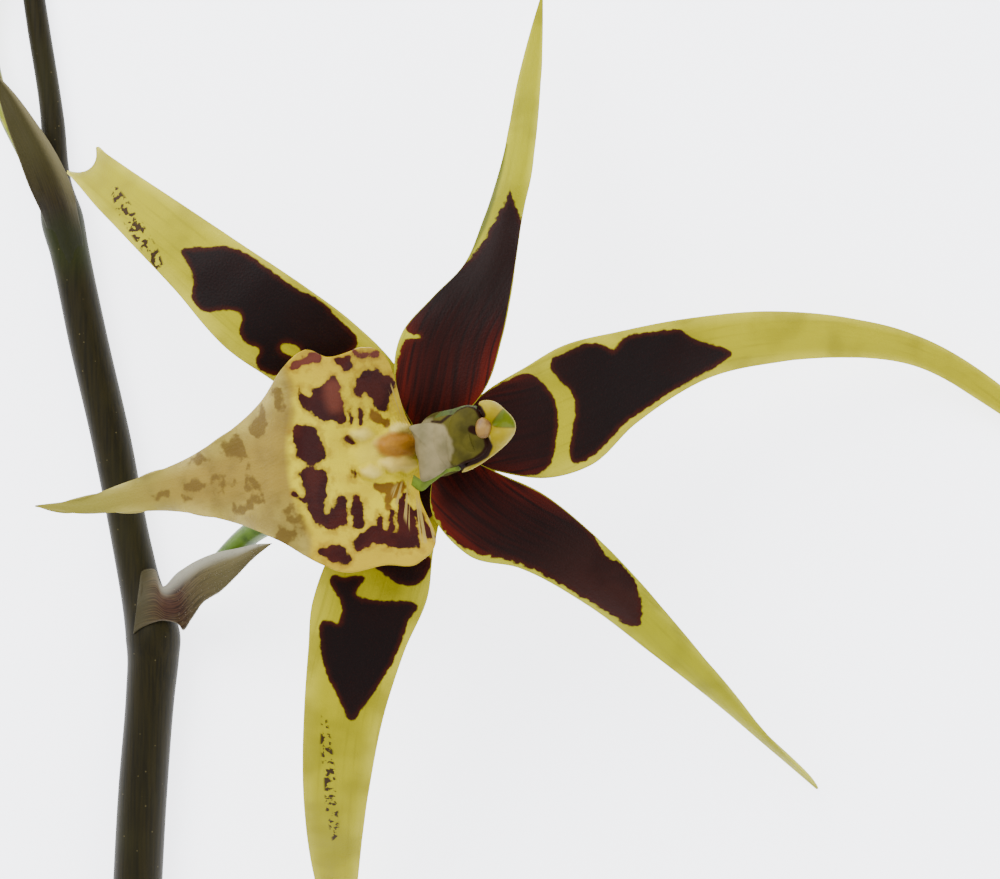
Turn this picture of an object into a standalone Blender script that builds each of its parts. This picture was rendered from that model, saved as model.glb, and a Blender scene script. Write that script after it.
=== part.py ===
"""Brassia orchid: one open bloom on a cut length of its flower spike, lying on a flat surface.

The spike lies along Y and the bloom faces up. Sizes are in millimetres from the bloom's centre,
where its tepals meet, and the surface is at height 0. They become metres when a mesh is made.
"""
import math

import bmesh
import bpy
import numpy as np
from mathutils import Vector

MM = 0.001

# Place of the bloom's centre, which puts the box round the whole piece over the origin
BLOOM_X = -11.29
BLOOM_Y = -2.93

TEPAL_THICK = 0.8
LIP_THICK = 0.9
BRACT_THICK = 0.7

# Cells that a piece is divided into, along it and across or round it
TEPAL_CELLS = (30, 6)
LIP_CELLS = (40, 16)
BRACT_CELLS = (12, 4)
FLOWER_STALK_CELLS = (46, 16)
BLOOM_STALK_CELLS = (22, 12)
SIDE_BUD_CELLS = (30, 12)
END_BUD_CELLS = (8, 12)
COLUMN_CELLS = (12, 20)
CAP_CELLS = (8, 16)
LUMP_CELLS = (12, 8)

# Height and count of the waves along a blade's margins, and how far the right ones lag, in radians
TEPAL_WAVES = (0.35, 3.5)
LIP_WAVES = (0.9, 5.5)
NO_WAVES = (0.0, 0.0)
RIGHT_LAG = 2.0

# Depth of the three ribs round an ovary or a bud, as a share of its radius
OVARY_RIBS = 0.05
BUD_RIBS = 0.06

# A midrib's rounding, as a share of the blade's half width
MIDRIB_ROUND = 0.35

# Edges that turn more than this stay sharp when a piece is shaded, in degrees
SHARP_ANGLE = 50

# Rows of a blade run from its root to its tip. Each holds the left margin's x, y and z,
# the right margin's x, y and z, and the midrib's height above the line between the two.
DORSAL_SEPAL = (
    (1.4, 1.6, 33.2, 2.0, -1.0, 33.2, 0.0),
    (7.1, 7.1, 33.6, 8.9, -3.2, 33.6, -0.6),
    (12.9, 10.7, 32.7, 15.6, -4.1, 32.4, -0.6),
    (17.4, 13.4, 31.0, 21.2, -2.5, 30.6, -0.3),
    (25.3, 15.5, 28.3, 27.4, 3.1, 27.9, 0.1),
    (34.9, 17.4, 24.5, 36.8, 9.0, 24.5, 0.4),
    (46.2, 18.6, 19.3, 47.6, 11.6, 19.5, 0.5),
    (57.8, 17.9, 13.8, 57.6, 12.4, 14.0, 0.4),
    (69.8, 14.9, 8.5, 68.1, 11.2, 8.5, 0.3),
    (80.5, 8.8, 4.0, 78.1, 6.2, 4.0, 0.2),
    (88.1, 1.9, 1.6, 86.7, 0.5, 1.6, 0.0),
    (92.8, -4.5, 0.8, 92.5, -4.8, 0.8, 0.0),
)
UPPER_PETAL = (
    (-1.2, 1.2, 34.3, 1.4, 1.6, 34.3, 0.0),
    (-4.0, 6.2, 36.2, 6.3, 6.2, 36.2, -0.5),
    (-3.6, 15.1, 36.2, 9.5, 14.3, 36.2, -0.3),
    (0.3, 19.7, 34.9, 10.5, 19.3, 35.1, 0.1),
    (4.3, 24.0, 32.4, 11.3, 24.4, 33.0, 0.6),
    (6.9, 30.3, 28.7, 12.1, 30.0, 29.5, 0.8),
    (9.2, 37.8, 24.5, 13.5, 37.4, 25.0, 0.6),
    (11.8, 51.5, 15.0, 14.9, 51.1, 15.0, 0.3),
    (13.3, 57.7, 10.6, 15.2, 57.4, 10.6, 0.2),
    (15.0, 63.9, 7.0, 15.3, 63.7, 7.0, 0.0),
)
LOWER_PETAL = (
    (2.1, -0.1, 34.3, 0.5, -2.1, 34.3, 0.0),
    (9.2, -3.5, 36.0, 0.3, -8.6, 36.2, -0.5),
    (15.1, -6.3, 35.5, 5.0, -14.2, 35.6, -0.3),
    (21.1, -11.1, 33.7, 11.8, -16.0, 33.4, 0.2),
    (27.8, -18.0, 30.4, 20.5, -20.9, 29.6, 0.6),
    (34.1, -25.2, 25.7, 29.4, -27.7, 25.0, 0.6),
    (42.2, -35.1, 18.0, 38.8, -35.3, 17.6, 0.4),
    (49.2, -43.2, 10.0, 46.8, -42.3, 9.8, 0.3),
    (55.0, -49.2, 0.6, 54.7, -49.3, 0.6, 0.0),
)
LOWER_SIDE_SEPAL = (
    (1.0, -1.8, 33.2, -1.6, -1.4, 33.2, 0.0),
    (1.3, -8.3, 33.9, -8.0, -7.7, 33.7, -0.4),
    (0.4, -13.9, 35.0, -12.5, -12.9, 34.6, -0.3),
    (-0.4, -20.1, 35.2, -15.4, -20.1, 34.6, 0.1),
    (-3.3, -26.7, 34.2, -16.1, -26.7, 33.6, 0.3),
    (-5.8, -34.2, 32.0, -16.8, -34.2, 31.4, 0.5),
    (-8.5, -46.5, 25.0, -17.4, -46.5, 24.4, 0.6),
    (-10.4, -59.0, 14.5, -16.9, -58.5, 14.2, 0.5),
    (-11.9, -70.7, 3.5, -14.4, -70.2, 3.5, 0.2),
    (-12.4, -74.5, 0.65, -12.9, -74.1, 0.65, 0.0),
)
UPPER_SIDE_SEPAL = (
    (-2.0, -0.2, 33.2, -0.6, 2.0, 33.2, 0.0),
    (-12.5, 2.0, 34.0, -4.0, 9.9, 33.6, -0.4),
    (-20.2, 8.4, 36.3, -10.2, 16.4, 36.3, -0.3),
    (-26.3, 12.7, 37.5, -16.9, 21.4, 37.3, 0.0),
    (-33.3, 20.5, 36.6, -24.8, 26.7, 36.4, 0.3),
    (-39.9, 27.3, 33.6, -33.0, 32.2, 33.4, 0.5),
    (-44.9, 32.4, 29.0, -39.6, 36.6, 29.0, 0.4, -0.2),
    (-48.8, 36.6, 23.5, -44.5, 40.0, 23.5, 0.3, -1.0),
    (-50.3, 38.0, 18.0, -46.3, 41.2, 18.0, 0.0, -1.8),
    (-49.9, 38.0, 13.0, -46.7, 40.6, 13.0, 0.0, -1.6),
    (-47.2, 37.1, 10.2, -45.4, 38.5, 10.2, 0.0, -0.8),
    (-43.6, 34.6, 10.6, -42.6, 35.4, 10.6, 0.0),
    (-41.2, 32.9, 12.6, -40.9, 33.2, 12.6, 0.0),
)
# Rows with an eighth number bow towards the tip by it: the broad base of the lip bows out, and the
# folded end of the upper side sepal is notched inwards
LIP = (
    (-0.6, -1.8, 35.7, -1.4, 1.2, 35.7, 0.0, 0.0),
    (-1.3, -6.3, 37.0, -3.3, 4.6, 37.0, -0.4, 1.2),
    (0.9, -11.7, 38.8, -4.9, 10.2, 38.8, -0.8, 3.2),
    (-1.2, -14.9, 40.2, -6.3, 12.3, 40.2, -1.0, 3.6),
    (-5.6, -15.2, 41.6, -8.2, 12.8, 41.6, -0.9, 3.0),
    (-10.1, -16.0, 43.2, -10.4, 12.2, 43.2, -0.5, 2.2),
    (-13.2, -15.2, 44.4, -13.0, 11.6, 44.4, 0.0, 1.4),
    (-16.0, -13.8, 45.0, -15.7, 12.4, 45.0, 0.4, 0.6),
    (-18.4, -12.3, 44.9, -18.3, 10.4, 44.9, 0.6, 0.2),
    (-21.5, -10.9, 43.4, -21.5, 6.0, 43.4, 0.5, 0.0),
    (-24.8, -9.9, 41.4, -25.6, 2.2, 41.4, 0.4, 0.0),
    (-29.0, -8.9, 39.0, -29.7, -0.4, 39.0, 0.4, 0.0),
    (-34.6, -8.4, 35.8, -35.3, -3.0, 35.8, 0.3, 0.0),
    (-40.7, -8.6, 32.6, -41.0, -4.9, 32.6, 0.2, 0.0),
    (-46.7, -8.9, 30.3, -46.7, -6.9, 30.3, 0.1, 0.0),
    (-52.9, -8.0, 29.0, -52.9, -7.8, 29.0, 0.0, 0.0),
)
LOWER_BRACT = (
    (-40.6, -19.0, 7.3, -36.2, -26.2, 7.2, 0.8),
    (-38.1, -18.0, 8.4, -34.3, -24.2, 8.0, 1.0),
    (-34.1, -15.8, 10.6, -32.0, -20.9, 10.0, 1.0),
    (-29.1, -14.0, 12.6, -28.6, -18.8, 12.2, 0.8),
    (-25.5, -13.3, 14.0, -25.2, -16.0, 13.8, 0.4),
    (-23.0, -13.2, 15.0, -22.8, -13.5, 15.0, 0.0),
)
UPPER_BRACT = (
    (-55.8, 32.6, 6.8, -50.9, 33.4, 6.5, 0.6),
    (-57.4, 36.5, 7.1, -51.6, 36.8, 6.4, 0.9),
    (-59.0, 41.0, 7.2, -53.6, 41.4, 6.4, 0.9),
    (-60.6, 45.5, 7.0, -56.4, 45.8, 6.6, 0.6),
    (-61.9, 49.8, 6.9, -59.6, 50.1, 6.7, 0.3),
    (-62.9, 53.0, 6.8, -62.5, 53.2, 6.8, 0.0),
)

# Rows of a round piece run along its middle line: x, y and z, the half width and the half depth
FLOWER_STALK = (
    (-43.9, -90.0, 3.3, 3.5, 3.5),
    (-43.0, -72.0, 3.3, 3.5, 3.5),
    (-41.8, -49.0, 3.3, 3.5, 3.5),
    (-40.7, -35.0, 3.3, 3.5, 3.5),
    (-40.3, -30.0, 3.5, 3.7, 3.7),
    (-40.3, -27.2, 3.7, 3.9, 3.9),
    (-40.9, -24.5, 3.4, 3.6, 3.6),
    (-42.2, -20.0, 2.8, 3.0, 3.0),
    (-43.3, -15.0, 2.6, 2.8, 2.8),
    (-46.4, 0.9, 2.6, 2.8, 2.8),
    (-49.7, 15.2, 2.6, 2.8, 2.8),
    (-52.4, 28.0, 2.6, 2.8, 2.8),
    (-53.5, 33.0, 2.8, 3.0, 3.0),
    (-54.2, 37.0, 2.0, 2.2, 2.2),
    (-55.0, 46.8, 1.5, 1.7, 1.7),
    (-57.2, 61.2, 1.4, 1.6, 1.6),
    (-58.7, 71.2, 1.3, 1.5, 1.5),
    (-59.9, 82.0, 1.1, 1.3, 1.3),
)
BLOOM_STALK = (
    (-37.2, -22.9, 4.8, 1.7, 1.7),
    (-34.5, -21.0, 5.7, 1.6, 1.6),
    (-31.0, -17.4, 7.8, 1.6, 1.6),
    (-26.0, -12.4, 11.0, 1.6, 1.6),
    (-18.3, -8.6, 16.5, 1.7, 1.7),
    (-11.1, -5.4, 22.3, 1.9, 1.9),
    (-5.0, -2.6, 27.3, 2.1, 2.1),
    (-1.2, -0.6, 29.6, 2.0, 2.0),
    (0.0, 0.0, 30.9, 1.9, 1.9),
    (0.0, 0.0, 31.7, 1.9, 1.9),
)
SIDE_BUD = (
    (-56.0, 36.7, 5.15, 1.0, 1.0),
    (-58.4, 41.5, 4.9, 1.0, 1.0),
    (-61.1, 47.0, 4.2, 1.1, 1.1),
    (-63.4, 53.5, 3.0, 1.3, 1.3),
    (-65.0, 60.0, 2.1, 1.8, 1.7),
    (-65.7, 66.0, 2.8, 2.9, 2.6),
    (-66.6, 74.0, 3.3, 3.4, 3.1),
    (-67.3, 82.0, 3.0, 2.9, 2.7),
    (-67.9, 90.0, 2.0, 1.6, 1.5),
    (-68.3, 96.0, 1.4, 0.3, 0.3),
)
END_BUD = (
    (-59.9, 82.3, 1.2, 1.1, 1.1),
    (-60.2, 85.0, 1.7, 1.8, 1.6),
    (-60.5, 88.5, 1.7, 1.6, 1.5),
    (-60.8, 92.5, 1.4, 0.3, 0.3),
)
COLUMN = (
    (1.6, 0.4, 34.7, 1.7, 1.4),
    (1.5, 0.4, 36.5, 2.4, 2.1),
    (1.3, 0.3, 38.6, 4.0, 3.2),
    (2.6, 0.7, 41.0, 4.1, 3.2),
    (4.8, 1.3, 43.0, 3.8, 2.7),
    (6.6, 1.8, 44.4, 3.2, 2.3),
)
ANTHER_CAP = (
    (6.9, 1.9, 44.6, 3.0, 2.1),
    (8.2, 2.3, 45.5, 3.2, 2.3),
    (9.8, 2.7, 46.5, 2.4, 1.8),
    (11.1, 3.0, 47.2, 0.8, 0.6),
)
# The stigma's hollow in the column, and the lumps of the lip's callus: middle and half sizes
STIGMA = (3.9, 1.1, 45.4, 1.5, 1.8, 2.0)
CALLUS = (
    (-5.6, 1.6, 39.4, 3.6, 1.2, 2.2),
    (-6.0, -2.8, 39.5, 3.6, 1.2, 2.2),
    (-4.6, -0.6, 38.8, 2.4, 2.0, 2.3),
    (-8.9, 1.9, 41.6, 1.2, 0.9, 1.9),
    (-8.9, -3.6, 41.6, 1.2, 0.9, 1.9),
)


def clear_scene():
    for item in list(bpy.data.objects):
        bpy.data.objects.remove(item)


def linear(code):
    """Turns an sRGB colour such as b9b84a into Blender's linear values."""
    parts = [int(code[start:start + 2], 16) / 255 for start in (0, 2, 4)]
    return [part / 12.92 if part <= 0.04045 else ((part + 0.055) / 1.055) ** 2.4 for part in parts]


def plant_material(name, colour, roughness):
    material = bpy.data.materials.new(name)
    material.use_nodes = True
    shader = material.node_tree.nodes["Principled BSDF"]
    shader.inputs["Base Color"].default_value = (*linear(colour), 1.0)
    shader.inputs["Roughness"].default_value = roughness
    shader.inputs["Metallic"].default_value = 0.0
    material.diffuse_color = (*linear(colour), 1.0)
    return material


def smooth(rows, middles):
    """Gives a function from 0 to 1 that runs smoothly through the rows, evenly along their middles."""
    rows = np.array(rows, dtype=float)
    steps = np.linalg.norm(np.diff(middles, axis=0), axis=1)
    knots = np.concatenate(([0.0], np.cumsum(steps)))
    slopes = np.gradient(rows, knots, axis=0)

    def row_at(share):
        place = share * knots[-1]
        first = min(int(np.searchsorted(knots, place, side="right")) - 1, len(knots) - 2)
        span = knots[first + 1] - knots[first]
        u = (place - knots[first]) / span
        start = (1 + 2 * u) * (1 - u) ** 2 * rows[first] + u * (1 - u) ** 2 * span * slopes[first]
        end = u * u * (3 - 2 * u) * rows[first + 1] - u * u * (1 - u) * span * slopes[first + 1]
        return start + end

    return row_at


def blade_curve(rows):
    """Smooths a blade's rows. A row with no bow of its own gets none."""
    full = np.array([tuple(row) + (0.0,) * (8 - len(row)) for row in rows])
    return smooth(full, (full[:, 0:3] + full[:, 3:6]) / 2)


def blade_point(row, share, across, waves):
    """Point of a blade at a share of its length, with across 1 at its left margin, -1 at its right."""
    left, right = Vector(row[0:3]), Vector(row[3:6])
    rise, bow = row[6], row[7]
    half = (left - right) / 2
    forward = Vector((half.y, -half.x, 0)).normalized()
    ridge = (math.hypot(across, MIDRIB_ROUND) - MIDRIB_ROUND) / (math.hypot(1, MIDRIB_ROUND) - MIDRIB_ROUND)
    height, count = waves
    turn = 2 * math.pi * count * share + (0.0 if across > 0 else RIGHT_LAG)
    point = (left + right) / 2 + half * across + forward * bow * (1 - across * across)
    point.z += rise * (1 - ridge) + height * across ** 4 * math.sin(turn) * math.sin(math.pi * share)
    return point


def add_object(name, mesh, material, centre):
    """Makes one named object of a finished bmesh and hangs it on the bloom's centre."""
    data = bpy.data.meshes.new(name)
    mesh.to_mesh(data)
    mesh.free()
    data.materials.append(material)
    data.shade_smooth()
    data.set_sharp_from_angle(angle=math.radians(SHARP_ANGLE))
    item = bpy.data.objects.new(name, data)
    bpy.context.collection.objects.link(item)
    item.parent = centre
    return item


def add_blade(name, rows, cells, thickness, material, centre, waves=NO_WAVES):
    """A thin leaf-like blade: a grid laid on the rows, thickened downwards."""
    curve = blade_curve(rows)
    mesh = bmesh.new()
    bmesh.ops.create_grid(mesh, x_segments=cells[0], y_segments=cells[1], size=1)
    for vertex in mesh.verts:
        share = min(max((vertex.co.x + 1) / 2, 0.0), 1.0)
        vertex.co = blade_point(curve(share), share, vertex.co.y, waves) * MM
    # A waved face is cut into triangles here, so that its upper and lower sides are cut alike
    bmesh.ops.triangulate(mesh, faces=mesh.faces)
    item = add_object(name, mesh, material, centre)
    wall = item.modifiers.new("wall", "SOLIDIFY")
    wall.thickness = thickness * MM
    wall.offset = -1
    return item


def tube_frames(curve, rings):
    """Middle, side and upward directions of each ring of a round piece, free of twist."""
    rows = [curve(ring / rings) for ring in range(rings + 1)]
    middles = [Vector(row[0:3]) for row in rows]
    first = middles[1] - middles[0]
    lies_flat = abs(first.z) < first.length / 2
    side = Vector((-first.y, first.x, 0)) if lies_flat else Vector((0, 1, 0))
    frames = []
    for ring, row in enumerate(rows):
        ahead = (middles[min(ring + 1, rings)] - middles[max(ring - 1, 0)]).normalized()
        side = (side - ahead * side.dot(ahead)).normalized()
        frames.append((middles[ring], side * row[3], ahead.cross(side) * row[4]))
    return frames


def add_tube(name, rows, cells, material, centre, ribs=0.0):
    """A round piece: a grid rolled round the rows' middle line, with its ends closed."""
    rows = np.array(rows)
    rings, sides = cells
    frames = tube_frames(smooth(rows, rows[:, 0:3]), rings)
    mesh = bmesh.new()
    bmesh.ops.create_grid(mesh, x_segments=rings, y_segments=sides, size=1)
    for vertex in mesh.verts:
        middle, side, up = frames[round((vertex.co.x + 1) / 2 * rings)]
        # Half a step of turn puts a flat underneath, and not an edge
        turn = math.pi * (vertex.co.y + 1 / sides - 0.5)
        swell = 1 + ribs * math.cos(3 * turn + math.pi / 2)
        point = middle + (side * math.cos(turn) + up * math.sin(turn)) * swell
        point.z = max(point.z, 0.0)
        vertex.co = point * MM
    bmesh.ops.remove_doubles(mesh, verts=mesh.verts, dist=1e-6)
    bmesh.ops.holes_fill(mesh, edges=[edge for edge in mesh.edges if edge.is_boundary], sides=0)
    bmesh.ops.triangulate(mesh, faces=mesh.faces)
    bmesh.ops.recalc_face_normals(mesh, faces=mesh.faces)
    return add_object(name, mesh, material, centre)


def add_lump(name, sizes, material, centre):
    """A rounded lump, of which another piece is made or cut."""
    mesh = bmesh.new()
    bmesh.ops.create_uvsphere(mesh, u_segments=LUMP_CELLS[0], v_segments=LUMP_CELLS[1], radius=1)
    for vertex in mesh.verts:
        vertex.co = Vector([sizes[axis] + vertex.co[axis] * sizes[axis + 3] for axis in range(3)]) * MM
    item = add_object(name, mesh, material, centre)
    item.hide_render = True
    item.display_type = "WIRE"
    return item


def add_tepals(material, centre):
    """The three sepals and two petals, whose margins wave gently."""
    tepals = {
        "dorsal_sepal": DORSAL_SEPAL,
        "upper_petal": UPPER_PETAL,
        "lower_petal": LOWER_PETAL,
        "lower_side_sepal": LOWER_SIDE_SEPAL,
        "upper_side_sepal": UPPER_SIDE_SEPAL,
    }
    for name, rows in tepals.items():
        add_blade(name, rows, TEPAL_CELLS, TEPAL_THICK, material, centre, TEPAL_WAVES)


def add_lip(material, centre):
    """The lip with its callus, which grew as one piece: lumps joined to a waved blade."""
    lip = add_blade("lip", LIP, LIP_CELLS, LIP_THICK, material, centre, LIP_WAVES)
    lumps = bpy.data.collections.new("callus")
    for number, sizes in enumerate(CALLUS):
        lump = add_lump(f"callus_lump_{number}", sizes, material, centre)
        bpy.context.collection.objects.unlink(lump)
        lumps.objects.link(lump)
    bpy.context.scene.collection.children.link(lumps)
    join = lip.modifiers.new("callus", "BOOLEAN")
    join.operation = "UNION"
    join.operand_type = "COLLECTION"
    join.collection = lumps
    join.solver = "EXACT"


def add_column(centre):
    """The column at the bloom's middle, hollowed at its stigma, and the cap over its pollen."""
    column_green = plant_material("column_green", "a9a47c", 0.45)
    column = add_tube("column", COLUMN, COLUMN_CELLS, column_green, centre)
    hollow = column.modifiers.new("stigma", "BOOLEAN")
    hollow.operation = "DIFFERENCE"
    hollow.object = add_lump("stigma_cutter", STIGMA, column_green, centre)
    hollow.solver = "EXACT"
    cap_yellow = plant_material("cap_yellow", "c5c04a", 0.4)
    add_tube("anther_cap", ANTHER_CAP, CAP_CELLS, cap_yellow, centre)


def add_spike(centre):
    """The cut spike with what it bears besides the bloom: bracts, the bloom's stalk and buds."""
    stalk_brown = plant_material("stalk_brown", "4a4228", 0.5)
    stalk_green = plant_material("stalk_green", "6f8a2c", 0.45)
    bract_grey = plant_material("bract_grey", "9a8b74", 0.7)
    bud_green = plant_material("bud_green", "9aa043", 0.45)
    add_tube("flower_stalk", FLOWER_STALK, FLOWER_STALK_CELLS, stalk_brown, centre)
    add_tube("bloom_stalk", BLOOM_STALK, BLOOM_STALK_CELLS, stalk_green, centre, OVARY_RIBS)
    add_tube("side_bud", SIDE_BUD, SIDE_BUD_CELLS, bud_green, centre, BUD_RIBS)
    add_tube("end_bud", END_BUD, END_BUD_CELLS, bud_green, centre, BUD_RIBS)
    add_blade("lower_bract", LOWER_BRACT, BRACT_CELLS, BRACT_THICK, bract_grey, centre)
    add_blade("upper_bract", UPPER_BRACT, BRACT_CELLS, BRACT_THICK, bract_grey, centre)


def main():
    clear_scene()
    centre = bpy.data.objects.new("bloom_centre", None)
    bpy.context.collection.objects.link(centre)
    centre.location = (BLOOM_X * MM, BLOOM_Y * MM, 0.0)
    tepal_yellow = plant_material("tepal_yellow", "b3a948", 0.45)
    lip_yellow = plant_material("lip_yellow", "c9bc5c", 0.45)
    add_tepals(tepal_yellow, centre)
    add_lip(lip_yellow, centre)
    add_column(centre)
    add_spike(centre)


main()
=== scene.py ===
"""Looks of the brassia orchid: the fine blades, stalks, column and callus of one bloom on its spike.

Sizes are in millimetres from the bloom's centre, as in the model, and become metres in each mesh.
"""
import math
import random

import bmesh
import bpy
import numpy as np
from mathutils import Matrix, Vector, noise


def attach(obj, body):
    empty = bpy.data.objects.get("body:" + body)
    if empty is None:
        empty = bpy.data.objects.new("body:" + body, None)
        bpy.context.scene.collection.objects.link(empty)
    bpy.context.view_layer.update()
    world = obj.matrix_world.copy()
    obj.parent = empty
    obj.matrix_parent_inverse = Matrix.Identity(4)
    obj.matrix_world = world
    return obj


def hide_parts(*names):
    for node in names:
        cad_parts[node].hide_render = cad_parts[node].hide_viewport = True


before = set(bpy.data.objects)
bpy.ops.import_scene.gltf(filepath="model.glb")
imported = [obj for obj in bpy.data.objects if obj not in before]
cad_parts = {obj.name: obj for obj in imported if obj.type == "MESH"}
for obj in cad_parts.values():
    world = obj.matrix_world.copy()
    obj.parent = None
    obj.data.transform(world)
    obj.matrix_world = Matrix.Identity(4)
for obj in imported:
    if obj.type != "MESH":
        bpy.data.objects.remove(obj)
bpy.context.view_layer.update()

MM = 0.001
BLOOM = Vector((-11.29, -2.93, 0.0))

# The camera hangs over the bloom and looks straight down
CAMERA_FROM_BLOOM = (9.2, 0.99)
CAMERA_HEIGHT = 400.0
CAMERA_LENS = 100.0
SENSOR_WIDTH = 36.0
LIGHTS_AIM = Vector((0, 0, 0.02))

TEPAL_THICK = 0.8
LIP_THICK = 0.9
BRACT_THICK = 0.7
WING_THICK = 0.4
MARGIN_THICK_SHARE = 0.4

TEPAL_CELLS = (230, 52)
LIP_CELLS = (210, 116)
BRACT_CELLS = (130, 44)
WING_CELLS = (60, 14)

TEPAL_WAVES = (0.35, 3.5)
LIP_WAVES = (0.9, 5.5)
NO_WAVES = (0.0, 0.0)
RIGHT_LAG = 2.0
MIDRIB_ROUND = 0.35
OVARY_RIBS = 0.05
BUD_RIBS = 0.06
ROW_LENGTH = 8
FAR_OUTSIDE = -50.0

HAIRS = 420
HAIR_SIDES = 3
HAIR_RADIUS = 0.022
HAIR_TIP_RADIUS = 0.007
BRACT_GAP = 0.3
HELD_GAP = 0.4
CALLUS_TOP = 2.4
SPOKES = 17
SPOKES_FROM = -2.5
STALK_NODE_AT = 121.0
BLUSH_AT = 7.0

PETAL_YELLOWS = ("a09c06", "b4b02a", "827e08")
SEPAL_YELLOWS = ("a8a008", "bcb42e", "867e0a")
LOWER_BRACT_TONES = ("3e3822", "584a30", "2c2214", "452a20", "665f3c", "a5a392")
UPPER_BRACT_TONES = ("1f2109", "2e2610", "1f180a", "241c0a", "3b3610", "7a7252")
DARK_BROWN = "1e0a02"

# Rows of a blade from root to tip: left margin x, y, z, right margin x, y, z, the midrib's height
# above the line between the two and how far the row bows towards the tip, each 0 where not given
DORSAL_SEPAL = (
    (1.4, 1.6, 33.2, 2, -1, 33.2),
    (7.1, 7.1, 33.6, 8.9, -3.2, 33.6, -0.6),
    (12.9, 10.7, 32.7, 15.6, -4.1, 32.4, -0.6),
    (17.4, 13.4, 31, 21.2, -2.5, 30.6, -0.3),
    (25.3, 15.5, 28.3, 27.4, 3.1, 27.9, 0.1),
    (34.9, 17.4, 24.5, 36.8, 9, 24.5, 0.4),
    (46.2, 18.6, 19.3, 47.6, 11.6, 19.5, 0.5),
    (57.8, 17.9, 13.8, 57.6, 12.4, 14, 0.4),
    (69.8, 14.9, 8.5, 68.1, 11.2, 8.5, 0.3),
    (80.5, 8.8, 4, 78.1, 6.2, 4, 0.2),
    (88.1, 1.9, 1.6, 86.7, 0.5, 1.6),
    (92.8, -4.5, 0.8, 92.5, -4.8, 0.8),
)
UPPER_PETAL = (
    (-1.2, 1.2, 34.3, 1.4, 1.6, 34.3),
    (-4, 6.2, 36.2, 6.3, 6.2, 36.2, -0.5),
    (-3.6, 15.1, 36.2, 9.5, 14.3, 36.2, -0.3),
    (0.3, 19.7, 34.9, 10.5, 19.3, 35.1, 0.1),
    (4.3, 24, 32.4, 11.3, 24.4, 33, 0.6),
    (6.9, 30.3, 28.7, 12.1, 30, 29.5, 0.8),
    (9.2, 37.8, 24.5, 13.5, 37.4, 25, 0.6),
    (11.8, 51.5, 15, 14.9, 51.1, 15, 0.3),
    (13.3, 57.7, 10.6, 15.2, 57.4, 10.6, 0.2),
    (15, 63.9, 7, 15.3, 63.7, 7),
)
LOWER_PETAL = (
    (2.1, -0.1, 34.3, 0.5, -2.1, 34.3),
    (9.2, -3.5, 36, 0.3, -8.6, 36.2, -0.5),
    (15.1, -6.3, 35.5, 5, -14.2, 35.6, -0.3),
    (21.1, -11.1, 33.7, 11.8, -16, 33.4, 0.2),
    (27.8, -18, 30.4, 20.5, -20.9, 29.6, 0.6),
    (34.1, -25.2, 25.7, 29.4, -27.7, 25, 0.6),
    (42.2, -35.1, 18, 38.8, -35.3, 17.6, 0.4),
    (49.2, -43.2, 10, 46.8, -42.3, 9.8, 0.3),
    (55, -49.2, 0.6, 54.7, -49.3, 0.6),
)
LOWER_SIDE_SEPAL = (
    (1, -1.8, 33.2, -1.6, -1.4, 33.2),
    (1.3, -8.3, 33.9, -8, -7.7, 33.7, -0.4),
    (0.4, -13.9, 35, -12.5, -12.9, 34.6, -0.3),
    (-0.4, -20.1, 35.2, -15.4, -20.1, 34.6, 0.1),
    (-3.3, -26.7, 34.2, -16.1, -26.7, 33.6, 0.3),
    (-5.8, -34.2, 32, -16.8, -34.2, 31.4, 0.5),
    (-8.5, -46.5, 25, -17.4, -46.5, 24.4, 0.6),
    (-10.4, -59, 14.5, -16.9, -58.5, 14.2, 0.5),
    (-11.9, -70.7, 3.5, -14.4, -70.2, 3.5, 0.2),
    (-12.4, -74.5, 0.65, -12.9, -74.1, 0.65),
)
UPPER_SIDE_SEPAL = (
    (-2, -0.2, 33.2, -0.6, 2, 33.2),
    (-12.5, 2, 34, -4, 9.9, 33.6, -0.4),
    (-20.2, 8.4, 36.3, -10.2, 16.4, 36.3, -0.3),
    (-26.3, 12.7, 37.5, -16.9, 21.4, 37.3),
    (-33.3, 20.5, 36.6, -24.8, 26.7, 36.4, 0.3),
    (-39.9, 27.3, 33.6, -33, 32.2, 33.4, 0.5),
    (-44.9, 32.4, 29, -39.6, 36.6, 29, 0.4, -0.2),
    (-48.8, 36.6, 23.5, -44.5, 40, 23.5, 0.3, -1),
    (-50.3, 38, 18, -46.3, 41.2, 18, 0, -1.8),
    (-49.9, 38, 13, -46.7, 40.6, 13, 0, -1.6),
    (-47.2, 37.1, 10.2, -45.4, 38.5, 10.2, 0, -0.8),
    (-43.6, 34.6, 10.6, -42.6, 35.4, 10.6),
    (-41.2, 32.9, 12.6, -40.9, 33.2, 12.6),
)
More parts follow.
